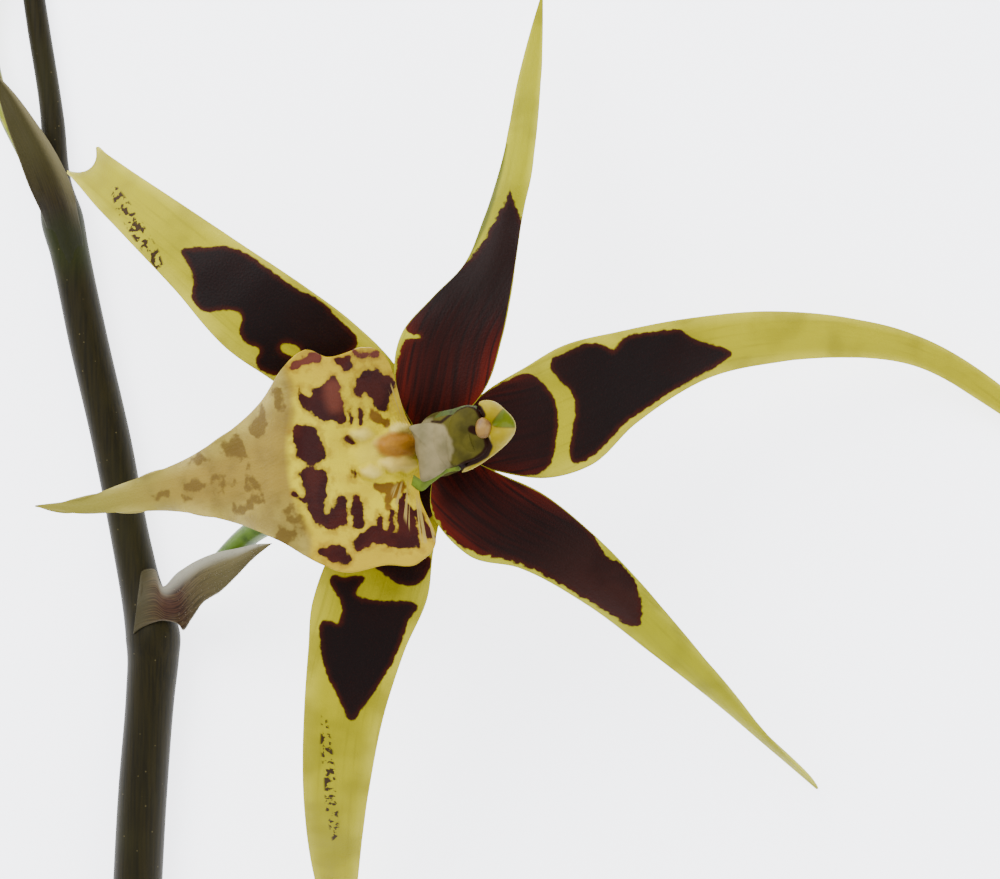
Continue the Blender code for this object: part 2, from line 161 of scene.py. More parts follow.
LIP = (
    (-0.6, -1.8, 35.7, -1.4, 1.2, 35.7),
    (-1.3, -6.3, 37, -3.3, 4.6, 37, -0.4, 1.2),
    (0.9, -11.7, 38.8, -4.9, 10.2, 38.8, -0.8, 3.2),
    (-1.2, -14.9, 40.2, -6.3, 12.3, 40.2, -1, 3.6),
    (-5.6, -15.2, 41.6, -8.2, 12.8, 41.6, -0.9, 3),
    (-10.1, -16, 43.2, -10.4, 12.2, 43.2, -0.5, 2.2),
    (-13.2, -15.2, 44.4, -13, 11.6, 44.4, 0, 1.4),
    (-16, -13.8, 45, -15.7, 12.4, 45, 0.4, 0.6),
    (-18.4, -12.3, 44.9, -18.3, 10.4, 44.9, 0.6, 0.2),
    (-21.5, -10.9, 43.4, -21.5, 6, 43.4, 0.5),
    (-24.8, -9.9, 41.4, -25.6, 2.2, 41.4, 0.4),
    (-29, -8.9, 39, -29.7, -0.4, 39, 0.4),
    (-34.6, -8.4, 35.8, -35.3, -3, 35.8, 0.3),
    (-40.7, -8.6, 32.6, -41, -4.9, 32.6, 0.2),
    (-46.7, -8.9, 30.3, -46.7, -6.9, 30.3, 0.1),
    (-52.9, -8, 29, -52.9, -7.8, 29),
)
LOWER_BRACT = (
    (-42, -21.2, 5.8, -42.7, -26.5, 6.6, 0.6),
    (-41.6, -17.7, 5.2, -42.1, -26, 6.9, 0.9),
    (-40.7, -17.4, 4.9, -41.1, -25.4, 7.1, 1),
    (-39.8, -17.6, 4.8, -39.5, -24.8, 7.2, 1.1),
    (-38.9, -19.6, 6.2, -38, -24.7, 6.6, 1),
    (-38.1, -19.6, 6.8, -36.5, -25.2, 5.9, 1),
    (-37, -18.4, 7.6, -35.9, -26, 5.8, 1),
    (-35.3, -17.1, 8.6, -34.4, -24.4, 7.2, 1),
    (-33.2, -15.9, 9.9, -32.6, -22, 8.8, 1),
    (-30.7, -14.9, 11, -30.1, -20.4, 10.2, 0.9),
    (-27.1, -14.1, 12.4, -27.7, -18.2, 12, 0.7),
    (-24.4, -13.5, 14, -24.9, -15.4, 13.8, 0.3),
    (-22.7, -13.4, 15, -22.6, -13.6, 15),
)
UPPER_BRACT = (
    (-53.2, 24.6, 3.9, -50.4, 25, 3.9, 1),
    (-54.3, 28, 3.9, -50.2, 28.6, 3.9, 1.5),
    (-55.8, 32.6, 4.9, -50.9, 33.4, 4.4, 1.5),
    (-57.4, 36.5, 6.5, -51.6, 36.8, 5.2, 1.2),
    (-59, 41, 7, -53.6, 41.4, 6.2, 0.9),
    (-60.6, 45.5, 7, -56.4, 45.8, 6.6, 0.6),
    (-61.9, 49.8, 6.9, -59.6, 50.1, 6.7, 0.3),
    (-62.9, 53, 6.8, -62.5, 53.2, 6.8),
)

# Rows of a round piece along its middle line: x, y, z, the half width and, where one is given, the
# half depth
FLOWER_STALK = (
    (-43.9, -90, 3.3, 3.5),
    (-43, -72, 3.3, 3.5),
    (-41.8, -49, 3.3, 3.5),
    (-40.7, -35, 3.3, 3.5),
    (-40.3, -30, 3.5, 3.7),
    (-40.3, -27.2, 3.7, 3.9),
    (-40.9, -24.5, 3.4, 3.6),
    (-42.2, -20, 2.8, 3),
    (-43.3, -15, 2.6, 2.8),
    (-46.4, 0.9, 2.6, 2.8),
    (-49.7, 15.2, 2.6, 2.8),
    (-52.4, 28, 2.6, 2.8),
    (-53.5, 33, 2.8, 3),
    (-54.2, 37, 2, 2.2),
    (-55, 46.8, 1.5, 1.7),
    (-57.2, 61.2, 1.4, 1.6),
    (-58.7, 71.2, 1.3, 1.5),
    (-59.9, 82, 1.1, 1.3),
)
BLOOM_STALK = (
    (-37.2, -22.9, 4.8, 1.7),
    (-34.5, -21, 5.7, 1.6),
    (-31, -17.4, 7.8, 1.6),
    (-26, -12.4, 11, 1.6),
    (-18.3, -8.6, 16.5, 1.7),
    (-11.1, -5.4, 22.3, 1.9),
    (-5, -2.6, 27.3, 2.1),
    (-1.2, -0.6, 29.6, 2),
    (0, 0, 30.9, 1.9),
    (0, 0, 31.7, 1.9),
)
BLOOM_BASE = (
    (0, 0, 30.6, 1.7),
    (0, 0, 32, 2.1),
    (0.1, 0, 33.6, 2.4),
    (0.6, 0.1, 35.2, 2.2),
    (1.2, 0.2, 36.8, 1.8),
)
SIDE_BUD = (
    (-56, 36.7, 5.15, 1, 1),
    (-58.4, 41.5, 4.9, 1, 1),
    (-61.1, 47, 4.2, 1.1, 1.1),
    (-63.4, 53.5, 3, 1.3, 1.3),
    (-65, 60, 2.1, 1.8, 1.7),
    (-65.7, 66, 2.8, 2.9, 2.6),
    (-66.6, 74, 3.3, 3.4, 3.1),
    (-67.3, 82, 3, 2.9, 2.7),
    (-67.9, 90, 2, 1.6, 1.5),
    (-68.3, 96, 1.4, 0.3, 0.3),
)
END_BUD = (
    (-59.9, 82.3, 1.2, 1.1, 1.1),
    (-60.2, 85, 1.7, 1.8, 1.6),
    (-60.5, 88.5, 1.7, 1.6, 1.5),
    (-60.8, 92.5, 1.4, 0.3, 0.3),
)
COLUMN = (
    (1.6, 0.4, 34.7, 1.7, 1.4),
    (1.5, 0.4, 36.5, 2.4, 2.1),
    (1.3, 0.3, 38.6, 4, 3.2),
    (2.6, 0.7, 41, 4.1, 3.2),
    (4.8, 1.3, 43, 3.8, 2.7),
    (6.6, 1.8, 44.4, 3.2, 2.3),
)
ANTHER_CAP = (
    (6.9, 1.9, 44.6, 3, 2.1),
    (8.2, 2.3, 45.5, 3.2, 2.3),
    (9.8, 2.7, 46.5, 2.4, 1.8),
    (11.1, 3, 47.2, 0.8, 0.6),
)

# Dark markings, seen from above. An outline holds corners, and a stroke holds x, y and radius.
# The hole is a yellow spot inside a marking.
UPPER_PETAL_MARKS = [[(-5, 0), (-4.8, 7.2), (-4, 12.7), (-3.5, 14.1), (-0.8, 14.4), (-3.3, 15.1),
                      (-2.9, 16.1), (-3.8, 17.2), (-1.8, 19.8), (0.8, 22), (2.8, 23.4), (4.4, 24.2),
                      (5.4, 25.2), (7.1, 27.5), (8.4, 30), (9.3, 31.9), (10.1, 33), (10.6, 35),
                      (10.8, 33.2), (11.5, 32.2), (12.1, 30.4), (12.3, 28), (12, 26), (11.2, 21),
                      (10.6, 17), (10, 13), (9, 9), (8, 5), (6, 0), (0, -3)]]
DORSAL_MARKS = [
    [(0, -6), (-1, 2), (3, 6.4), (7.1, 7.2), (9.2, 8.4), (11.8, 9.6), (13.2, 9.9), (15.2, 8.3),
     (16.8, 6.2), (17, 2.9), (16.6, 0.3), (16.1, -2.4), (14.5, -3.6), (11.8, -4), (8, -4.6)],
    [(15.7, 11), (16.2, 11.9), (18.1, 12.7), (20.2, 13.7), (21.6, 14), (23.4, 13.5), (24.4, 12.8),
     (24.9, 13.8), (26.2, 15), (28.7, 15.4), (33.3, 16), (34.6, 15.2), (35.5, 14.4), (38.5, 13.8),
     (41.5, 12.8), (37.6, 10.3), (33.4, 8.1), (29.3, 5.5), (25.5, 2.9), (23.6, 0.5), (21.2, -1.6),
     (19.2, -2.4), (18.2, -1.6), (18.8, 2.2), (19.4, 5.8), (18.4, 7.8), (16.5, 9.3)],
]
LOWER_PETAL_MARKS = [[(-2, -3), (0.3, -8.3), (2.1, -11.4), (4.2, -13.3), (6.6, -14.1), (9.2, -14.7),
                      (13.2, -15.8), (16.5, -17.8), (19.9, -19.9), (23.9, -22.4), (27.7, -24.8),
                      (28.4, -22.1), (27.4, -17.9), (25.4, -15.4), (23, -14.3), (22.1, -12.3),
                      (20.8, -10.6), (18.1, -8.6), (15.8, -6.2), (11.8, -3.8), (9.2, -2.4), (4, 1)]]
LOWER_SEPAL_MARKS = [
    [(-8.8, -13.2), (-8.2, -15.2), (-5.5, -17.2), (-3.3, -18.4), (-1.2, -18), (-0.4, -16.8), (0.8, -14.5),
     (-3.5, -13.2), (-6, -12.4)],
    [(-13.4, -16.7), (-11.2, -17.1), (-8.4, -16.7), (-8.9, -18), (-10, -19.3), (-8.4, -20), (-5.5, -20.2),
     (-2, -20.1), (-1.4, -21.2), (-2.9, -22.7), (-3.6, -25.4), (-5, -28.7), (-6.9, -31.6), (-9.1, -34.9),
     (-10.7, -36.9), (-11.6, -34.6), (-12.6, -32.4), (-13.8, -30.1), (-14.5, -26.8), (-14.7, -22.8),
     (-12.9, -22.8), (-11.9, -23.4), (-11.4, -20.6), (-12.9, -18.8)],
    [(0, -1), (-4, -2), (-7, -6), (-7.5, -9.5), (-3, -11), (1, -9), (1.4, -4)],
]
UPPER_SEPAL_MARKS = [
    [(-33, 26.1), (-30.1, 26.2), (-26.2, 26.5), (-22.8, 24.7), (-20.2, 22.7), (-17.2, 20.5),
     (-14.3, 19.5), (-12, 16.9), (-8.9, 14), (-11.2, 11.7), (-13.4, 9.9), (-17, 9), (-20.7, 9.3),
     (-23.1, 10.6), (-21.9, 13.1), (-24, 13.3), (-25, 14.9), (-24.3, 17.6), (-27.3, 17.9), (-29.4, 17.4),
     (-31.3, 19.3), (-30.8, 22.4), (-32.2, 24.8)],
    [(-2, 1), (-7, 3.5), (-10, 6.5), (-7, 9), (-3, 6)],
]
UPPER_SEPAL_HOLE = [[(-18.8, 12.9, 0.7), (-17.8, 12.6, 0.8)]]
LIP_MARKS = [
    [(-12.2, 9.4), (-11.6, 8.6), (-11.2, 6.3), (-10.7, 4.3), (-10.2, 3.2), (-11.3, 3), (-12.2, 3.4),
     (-13.9, 3.5), (-15, 4.5), (-16.3, 5.5), (-16.8, 7.7), (-16.4, 7.9), (-15.8, 6.6), (-15.2, 6.4),
     (-14.7, 6.7), (-14.8, 7.5), (-13.3, 8.1)],
    [(-7.4, 10.2), (-6.6, 10), (-6.1, 9.5), (-4.6, 9.2), (-4.4, 8.2), (-5.1, 7), (-5.3, 5.4), (-5.5, 4.4),
     (-6.7, 4.8), (-7.4, 5.6), (-7.8, 6.9), (-8.3, 7), (-8.9, 6.4), (-9.6, 7.1), (-9.6, 8.5), (-8.9, 9.4),
     (-8.2, 10)],
    [(-16.7, 3.1), (-15.4, 2.7), (-14.3, 2.2), (-13.9, 1.2), (-13.7, 0.2), (-13.1, -0.6), (-13.2, -1.5),
     (-14.3, -1.8), (-15, -2.3), (-16, -2.1), (-16.6, -1.4), (-16.8, 0), (-17.5, 1.2), (-17.2, 2.4)],
    [(-16, -2.6), (-14.1, -2.6), (-13.1, -3.2), (-12.8, -4.1), (-13.1, -5.1), (-13, -6.3), (-13.4, -7.2),
     (-13.5, -8), (-13.2, -8.7), (-12.6, -8.6), (-12.1, -7.5), (-11.8, -6.4), (-10.9, -6.4),
     (-10.4, -7.5), (-10.4, -8.9), (-10.5, -10.2), (-11.5, -10.3), (-12.5, -10.6), (-13.7, -10.3),
     (-14.6, -9.4), (-15.3, -8.4), (-15.7, -7), (-15.4, -5.7), (-15.9, -4.7), (-16.6, -3.7)],
    [(-14.3, -13.4), (-12.9, -12.6), (-11.6, -12.5), (-10.8, -12.9), (-10.3, -13.8), (-9.8, -14.8),
     (-11.2, -15), (-13.1, -14.4)],
]
LIP_STROKES = [
    [(-17, 10.4, 0.5), (-15.8, 11, 0.6), (-14.3, 11.5, 0.7)],
    [(-11.6, 11, 0.4), (-10.7, 10.7, 0.8), (-10.3, 11.6, 0.3)],
    [(-9.3, 12.1, 0.4), (-8.6, 11.9, 0.3), (-7.8, 12.1, 0.35), (-6.7, 12.1, 0.35)],
    [(-10.2, 4.5, 0.3), (-10, 3.2, 0.25)],
    [(-9.1, 5, 0.3), (-8.8, 4.3, 0.35), (-8.8, 3, 0.25)],
    [(-9.3, -6.6, 0.4), (-9.2, -8.1, 0.75), (-9, -9.9, 0.8)],
    [(-9, -12.4, 0.85), (-7.4, -11.3, 1), (-5.4, -11.7, 1), (-3.6, -12.3, 1), (-2.1, -12.1, 1),
     (-1.4, -12.8, 0.4)],
    [(-6.4, -10.5, 0.45), (-6.3, -8.8, 0.22)],
    [(-4.9, -10.5, 0.5), (-4.8, -8.4, 0.25)],
    [(-3.3, -11.3, 0.8), (-3.5, -8.9, 0.6), (-3.7, -7.2, 0.4), (-3.1, -6.2, 0.25)],
    [(-2, -11.5, 0.7), (-2.5, -9.5, 0.7), (-2.9, -7.6, 0.5)],
    [(-1.7, -8.2, 0.25), (-0.7, -10.2, 0.5), (0.3, -11.4, 0.5)],
    [(-17.1, -6, 0.25), (-16, -6.8, 0.35)],
    [(-10.4, 1.1, 0.45), (-9.9, 0.5, 0.35)],
    [(-9.6, -3, 0.3), (-9.5, -3.8, 0.35)],
]
LIP_OCHRE = [
    [(-7.4, 4.4, 0.5), (-6.5, 3.7, 0.65), (-5.5, 3, 0.45)],
    [(-6.8, -5, 0.4), (-5, -5.6, 1.1), (-3.8, -5.2, 0.7)],
    [(-5.2, -6, 0.7), (-5.2, -7.8, 0.35)],
]
LIP_REFLECTION_DIMMED_SPOTS = [
    [(-21.4, 4.5, 1), (-22, 2.6, 0.8)],
    [(-25.4, 0.6, 1), (-24.7, -0.6, 1.1)],
    [(-22.8, -3.8, 0.8), (-21.7, -5.2, 0.9), (-20.9, -7.1, 0.7)],
    [(-26.6, -4.9, 0.9), (-25.6, -4.5, 0.6)],
    [(-31.2, -5.6, 0.8), (-30, -5.4, 0.5)],
    [(-35.4, -5.9, 0.6), (-34.5, -5.9, 0.4)],
    [(-29.8, -1.9, 0.7), (-28.9, -1.6, 0.5)],
    [(-24.6, -8.2, 0.6), (-23.6, -8, 0.6)],
    [(-18.4, -8, 0.7), (-17.6, -9.2, 0.6)],
    [(-19.2, 6.6, 0.5), (-19.4, 5.4, 0.6)],
    [(-18.9, -11.2, 0.5), (-17.2, -10.8, 0.5)],
]

# The lip's other areas: reddish bars, the painted reflection beyond the crease and the fringed base corners
LIP_ROSY = [
    [(-17, 10.4, 0.8), (-14.3, 11.5, 0.9)],
    [(-9.3, 12.1, 0.6), (-6.7, 12.1, 0.6)],
    [(-12.2, 7.5, 1.2), (-12, 5.5, 1)],
]
LIP_BEYOND = [[(-60, 14), (-18.2, 14), (-18.4, 10), (-17.4, 8), (-17.1, 5), (-17.9, 1), (-17.8, -3),
               (-16.8, -7.4), (-15.6, -10.4), (-14.6, -12.2), (-15.8, -16), (-60, -16)]]
LIP_FRINGE = [
    [(-5.6, 8.6), (-2.4, 8.8), (-1, 5), (-1.6, 3), (-5, 3.6)],
    [(-5.6, -5.4), (-2.6, -4), (-0.4, -5), (1.6, -9.6), (1.2, -12.4), (-1.6, -12.6), (-3.4, -9)],
]

# Brown specks in a band, and the upper petal's strip along a fold, darkened as painted shade
UPPER_SEPAL_SPECKS = [[(-42.2, 34.2, 0.7), (-41, 32.2, 1.1), (-38.6, 28.6, 1.2), (-36.4, 25.4, 1),
                       (-35.4, 23.4, 0.7)]]
LOWER_SEPAL_SPECKS = [[(-14.2, -35.6, 0.4), (-14, -39.5, 0.9), (-13.7, -44, 0.9), (-13.6, -49, 1),
                       (-13.3, -54, 0.6)]]
UPPER_PETAL_FOLD_SHADE = [[(3.6, 23.6, 0.3), (5, 25.6, 0.5), (6.8, 29.4, 0.6), (8.1, 33.5, 0.6),
                     (9.2, 37.4, 0.5), (10, 41, 0.3)]]

# The lip's callus: x, y, half length, half width, height above the lip, and how orange it is
CALLUS = (
    (-4, 0.35, 3.4, 2, 3.2, 1),
    (-3.9, 2.4, 1.6, 1.1, 2.7, 0.1),
    (-3.7, -2.1, 2.9, 1.4, 2.6, 0.35),
    (-7.4, -3.2, 1.8, 1.15, 1.7, 0),
    (-8.6, 1.6, 2, 1.25, 1.5, 0),
    (-7, -0.8, 3.4, 2.9, 0.8, 0),
)

# The column seen from above: its pale front, its dark marks and the outlines of its cushions. A
# lobe holds x, y, its radius and how far it rises, or sinks when that is below zero.
COLUMN_FRONT = [[(-6, 3.6), (1.5, 3.4), (2.6, 2.8), (3, 0.8), (3, -1.4), (2.6, -3), (0, -5), (-6, -5)]]
COLUMN_DARK = [
    [(5, 5.4, 0.2), (5.9, 5.3, 0.35), (6.5, 4.9, 0.45), (6.9, 4.1, 0.45)],
    [(5.6, 2.3, 0.45), (6.1, 2.1, 0.5)],
    [(7.5, 1, 0.35), (7.8, 0.1, 0.45), (7.3, -0.9, 0.5), (6.1, -1.7, 0.4), (4.7, -2.2, 0.4),
     (3.9, -2.7, 0.35)],
    [(0.4, 3.3, 0.1), (1.6, 3.2, 0.15), (2.6, 4, 0.12), (3.8, 4.9, 0.15), (5, 5.4, 0.2)],
]
COLUMN_FOOT = [(-2.8, 2.7), (-1, 3.1), (1.3, 3.2), (2.6, 2.8), (3.3, 1.1), (3.3, -1), (2.8, -2.4),
               (1.5, -3.5), (0.3, -4.2), (-1, -4.6), (-1.2, -3.3), (-1.3, -1.4), (-1.6, 0.4), (-2.1, 1.8)]
COLUMN_FACE = [(2.7, 3.6), (3.8, 4.9), (5.2, 5.3), (6.2, 5), (7, 4), (7.4, 3.1), (7.7, 1.1), (7.8, 0),
               (7, -1.2), (5.2, -1.9), (3.6, -2.5), (2.6, -1.8), (2.3, 0.8)]
HOOD = [(3.9, -3.4), (5.6, -2.9), (7.5, -1.7), (9.7, 0), (11, 1.5), (11.3, 2.6), (11, 3.7), (9.8, 4.9),
        (8.6, 5.9), (7.2, 6.1), (6.3, 5.7), (6.8, 4.6), (7.1, 3.6), (7.6, 2.4), (8, 1), (7.9, -0.1),
        (7, -1.2), (5.6, -2.2)]
FACE_HOLLOW = ((4.8, 0.2, 2.0, -0.4),)
HOOD_LOBES = ((8, 4.6, 1.9, 1.2), (9.3, 1.5, 2, 1.3))
HOOD_WEDGE = [[(8.1, 3), (8.6, 3.7), (9.5, 4.9), (10, 5), (10.9, 4), (11.5, 3), (11.3, 2.5), (9.6, 2.5),
               (8.5, 2.6)]]
KNOB = [(6, 2.4), (6.2, 3.4), (7, 3.9), (7.9, 3.5), (8.2, 2.4), (8, 1.5), (7.1, 1), (6.2, 1.4)]
UPPER_WING = (
    (0.3, 3.3, 41.8, 0.6, 2.4, 42.4, 0.1),
    (1.5, 4.5, 42.4, 1.8, 2.9, 43.2, 0.1),
    (3.1, 4.9, 43.3, 3.2, 3.3, 44, 0.1),
    (4.9, 5.4, 44.2, 4.8, 3.8, 44.8, 0.1),
    (6.2, 5.3, 45, 6.2, 4.6, 45.3),
)
LOWER_WING = (
    (-2, -3.6, 41, -2.3, -4.9, 40.4, 0.1),
    (-1, -4.2, 41.2, -1.2, -5.7, 40.4, 0.1),
    (0.6, -3.2, 42, 0.5, -4.6, 41.4, 0.1),
    (2.2, -2.3, 43, 2.4, -3.3, 42.7, 0.1),
    (3.8, -2.1, 44, 4, -3, 43.8),
)


def round_corners(corners):
    """Rounds an outline by cutting each of its corners twice."""
    corners = np.array(corners, dtype=float)
    for _ in range(2):
        ahead = np.roll(corners, -1, axis=0)
        pairs = (corners * 0.75 + ahead * 0.25, corners * 0.25 + ahead * 0.75)
        corners = np.stack(pairs, axis=1).reshape(-1, 2)
    return corners


def smooth(rows, middles):
    """Gives a function from 0 to 1 that runs smoothly through the rows, evenly along their middles."""
    rows = np.array(rows, dtype=float)
    steps = np.linalg.norm(np.diff(middles, axis=0), axis=1)
    knots = np.concatenate(([0.0], np.cumsum(steps)))
    slopes = np.gradient(rows, knots, axis=0)

    def row_at(share):
        place = share * knots[-1]
        first = min(int(np.searchsorted(knots, place, side="right")) - 1, len(knots) - 2)
        span = knots[first + 1] - knots[first]
        u = (place - knots[first]) / span
        start = (1 + 2 * u) * (1 - u) ** 2 * rows[first] + u * (1 - u) ** 2 * span * slopes[first]
        end = u * u * (3 - 2 * u) * rows[first + 1] - u * u * (1 - u) * span * slopes[first + 1]
        return start + end

    return row_at, knots[-1]


def smooth_blade(rows):
    """The function through a blade's rows, each filled up to its full length, and the blade's length."""
    full = np.array([tuple(row) + (0.0,) * (ROW_LENGTH - len(row)) for row in rows])
    return smooth(full, (full[:, 0:3] + full[:, 3:6]) / 2)


def blade_point(row, share, across, waves):
    """Point of a blade at a share of its length, with across 1 at its left margin, -1 at its right."""
    left, right = Vector(row[0:3]), Vector(row[3:6])
    rise, bow = row[6], row[7]
    half = (left - right) / 2
    forward = Vector((half.y, -half.x, 0)).normalized()
    ridge = (math.hypot(across, MIDRIB_ROUND) - MIDRIB_ROUND) / (math.hypot(1, MIDRIB_ROUND) - MIDRIB_ROUND)
    height, count = waves
    turn = 2 * math.pi * count * share + (0.0 if across > 0 else RIGHT_LAG)
    point = (left + right) / 2 + half * across + forward * bow * (1 - across * across)
    point.z += rise * (1 - ridge) + height * across ** 4 * math.sin(turn) * math.sin(math.pi * share)
    return point


def outline_depth(places, corners):
    """How deep each place lies inside an outline, in mm, below zero outside it."""
    corners = round_corners(corners)
    ends = np.roll(corners, -1, axis=0)
    nearest = np.full(len(places), 1e9)
    inside = np.zeros(len(places), dtype=bool)
    for start, end in zip(corners, ends):
        line = end - start
        share = np.clip(((places - start) @ line) / (line @ line), 0, 1)
        nearest = np.minimum(nearest, np.linalg.norm(places - start - share[:, None] * line, axis=1))
        crosses = (start[1] > places[:, 1]) != (end[1] > places[:, 1])
        rise = line[1] if line[1] else 1e-9
        inside ^= crosses & (places[:, 0] < start[0] + (places[:, 1] - start[1]) * line[0] / rise)
    return np.where(inside, nearest, -nearest)


def stroke_depth(places, stroke):
    """How deep each place lies inside a round stroke whose points hold x, y and radius."""
    depth = np.full(len(places), -1e9)
    for start, end in zip(stroke, stroke[1:]):
        start, end = np.array(start, dtype=float), np.array(end, dtype=float)
        line = end[:2] - start[:2]
        share = np.clip(((places - start[:2]) @ line) / (line @ line), 0, 1)
        away = np.linalg.norm(places - start[:2] - share[:, None] * line, axis=1)
        depth = np.maximum(depth, start[2] + (end[2] - start[2]) * share - away)
    return depth


def mark_depth(places, outlines=(), strokes=()):
    """The deepest of several outlines and strokes at each place."""
    depths = [outline_depth(places, corners) for corners in outlines]
    depths += [stroke_depth(places, stroke) for stroke in strokes]
    return np.max(depths, axis=0) if depths else np.full(len(places), FAR_OUTSIDE)


def add_object(name, data):
    item = bpy.data.objects.new(name, data)
    bpy.context.collection.objects.link(item)
    return item


def add_mesh(name, mesh, material):
    """Makes an object of a finished bmesh."""
    data = bpy.data.meshes.new(name)
    mesh.to_mesh(data)
    mesh.free()
    data.materials.append(material)
    return add_object(name, data)


def add_piece(name, mesh, material, node, slot):
    """Makes one smooth piece, which rides on the part and stands for its node."""
    item = add_mesh(name, mesh, material)
    item.data.shade_smooth()
    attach(item, "root")
    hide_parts(node)
    return item


def places_of(item):
    """Where each point of a piece lies from above, in mm from the bloom's centre."""
    return np.array([vertex.co.xy for vertex in item.data.vertices]) / MM - np.array(BLOOM.xy)


def set_field(item, name, values):
    """Stores one number for each point of a piece, which its material reads by name."""
    field = item.data.attributes.new(name, "FLOAT", "POINT")
    field.data.foreach_set("value", np.asarray(values, dtype=np.float32))


def set_depth(item, name, outlines=(), strokes=()):
    """Stores how deep each point of a piece lies inside outlines and strokes."""
    set_field(item, name, mark_depth(places_of(item), outlines, strokes))


def callus_height(x, y):
    """How far the callus rises above the lip at a place, and how orange it is there."""
    x += 0.35 * noise.noise(Vector((x, y, 3.0)) * 0.8)
    y += 0.35 * noise.noise(Vector((x, y, 9.0)) * 0.8)
    heights, orange = 0.0, 0.0
    for middle_x, middle_y, half_x, half_y, rise, warmth in CALLUS:
        away = ((x - middle_x) / half_x) ** 2 + ((y - middle_y) / half_y) ** 2
        if away < 1:
            heights += (rise * (1 - away) ** 0.7) ** 3
            orange = max(orange, warmth * (1 - away) ** 0.6)
    return heights ** (1 / 3), orange


def surface_height(rows, x, y):
    """Height of a round piece's upper surface over a place, or -1 beside it."""
    rows = np.array(rows, dtype=float)
    shares = np.linspace(0, len(rows) - 1, 12 * len(rows))
    path = np.stack([np.interp(shares, range(len(rows)), rows[:, column]) for column in range(4)], axis=1)
    away = np.hypot(path[:, 0] - x, path[:, 1] - y)
    path, away = path[away < path[:, 3]], away[away < path[:, 3]]
    if not len(path):
        return -1.0
    return float(np.max(path[:, 2] + np.sqrt(path[:, 3] ** 2 - away ** 2)))


def add_blade(name, node, slot, rows, cells, thickness, material, waves=NO_WAVES, outlines=(), strokes=(),
              shape=None, holes=()):
    """A fine blade: a grid laid on the rows, thinner towards its margins, with its markings stored."""
    row_at, length = smooth_blade(rows)
    mesh = bmesh.new()
    bmesh.ops.create_grid(mesh, x_segments=cells[0], y_segments=cells[1], size=1)
    weights = mesh.verts.layers.deform.verify()
    rows_found = {}
    along, across, width = [], [], []
    for vertex in mesh.verts:
        share = min(max((vertex.co.x + 1) / 2, 0.0), 1.0)
        side = vertex.co.y
        key = round(share * cells[0])
        if key not in rows_found:
            rows_found[key] = row_at(share)
        row = rows_found[key]
        point = blade_point(row, share, side, waves)
        half = math.dist(row[0:2], row[3:5]) / 2
        point.z += 0.12 * noise.noise(point * 0.22) * min(1.0, half)
        if shape:
            shape(point, share, side)
        along.append(share * length)
        across.append(side)
        width.append(side * half)
        vertex[weights][0] = 1 - abs(side) ** 5
        vertex.co = (point + BLOOM) * MM
    item = add_piece(name, mesh, material, node, slot)
    item.vertex_groups.new(name="body")
    wall = item.modifiers.new("wall", "SOLIDIFY")
    wall.thickness = thickness * MM
    wall.offset = -1
    wall.vertex_group = "body"
    wall.thickness_vertex_group = MARGIN_THICK_SHARE
    places = places_of(item)
    marks = np.minimum(mark_depth(places, outlines, strokes), -mark_depth(places, (), holes))
    set_field(item, "marks", marks)
    set_field(item, "along", along)
    set_field(item, "across", across)
    set_field(item, "width", width)
    return item


def add_hairs(name, node, slot, rows, shape):
    """Short soft hairs that stand on a bract, denser along its lower margin."""
    row_at, length = smooth_blade(rows)
    chance = random.Random(7)
    mesh = bmesh.new()
    for number in range(HAIRS):
        share = 0.3 + 0.62 * chance.random()
        side = -1 + 0.08 * chance.random() if number % 3 == 0 else 1.9 * chance.random() - 0.97
        root = blade_point(row_at(share), share, side, NO_WAVES)
        shape(root, share, side)
        lean_x = chance.uniform(-0.5, 0.9)
        lean_y = chance.uniform(-1.1, 0.1) if side < -0.9 else chance.uniform(-0.5, 0.5)
        lean = Vector((lean_x, lean_y, 0.9)).normalized()
        tall = chance.uniform(0.15, 0.42)
        turn = lean.to_track_quat("Z", "Y").to_matrix().to_4x4()
        place = Matrix.Translation((root + BLOOM + lean * tall / 2) * MM) @ turn
        bmesh.ops.create_cone(mesh, cap_ends=True, segments=HAIR_SIDES, radius1=HAIR_RADIUS * MM,
                              radius2=HAIR_TIP_RADIUS * MM, depth=tall * MM, matrix=place)
    pale = plain_material("pale_hairs", "a59b84", "857a62", 0.6)
    return add_piece(name, mesh, pale, node, slot)


def add_pillow(name, node, slot, outline, level, depth, rise, material, lobes=(), tilt=0.0):
    """A closed cushion over an outline seen from above, with lobes raised on its upper side."""
    edge = round_corners(outline)
    centre = edge.mean(axis=0)
    mesh = bmesh.new()
    rings, sides = 40, len(edge)
    bmesh.ops.create_grid(mesh, x_segments=rings, y_segments=sides, size=1)
    for vertex in mesh.verts:
        ring = (vertex.co.x + 1) / 2
        corner = edge[round((vertex.co.y + 1) / 2 * sides) % sides]
        x, y = centre + (corner - centre) * math.sin(math.pi * ring)
        height = math.cos(math.pi * ring)
        z = level + tilt * (x - centre[0]) + height * (rise if height > 0 else depth)
        for middle_x, middle_y, half, lift in lobes:
            away = math.hypot(x - middle_x, y - middle_y) / half
            if height > 0 and away < 1:
                z += lift * (1 - away * away) ** 1.5
        z += 0.06 * noise.noise(Vector((x, y, z)) * 1.7)
        vertex.co = (Vector((x, y, z)) + BLOOM) * MM
    bmesh.ops.remove_doubles(mesh, verts=mesh.verts, dist=2e-6)
    bmesh.ops.recalc_face_normals(mesh, faces=mesh.faces)
    return add_piece(name, mesh, material, node, slot)


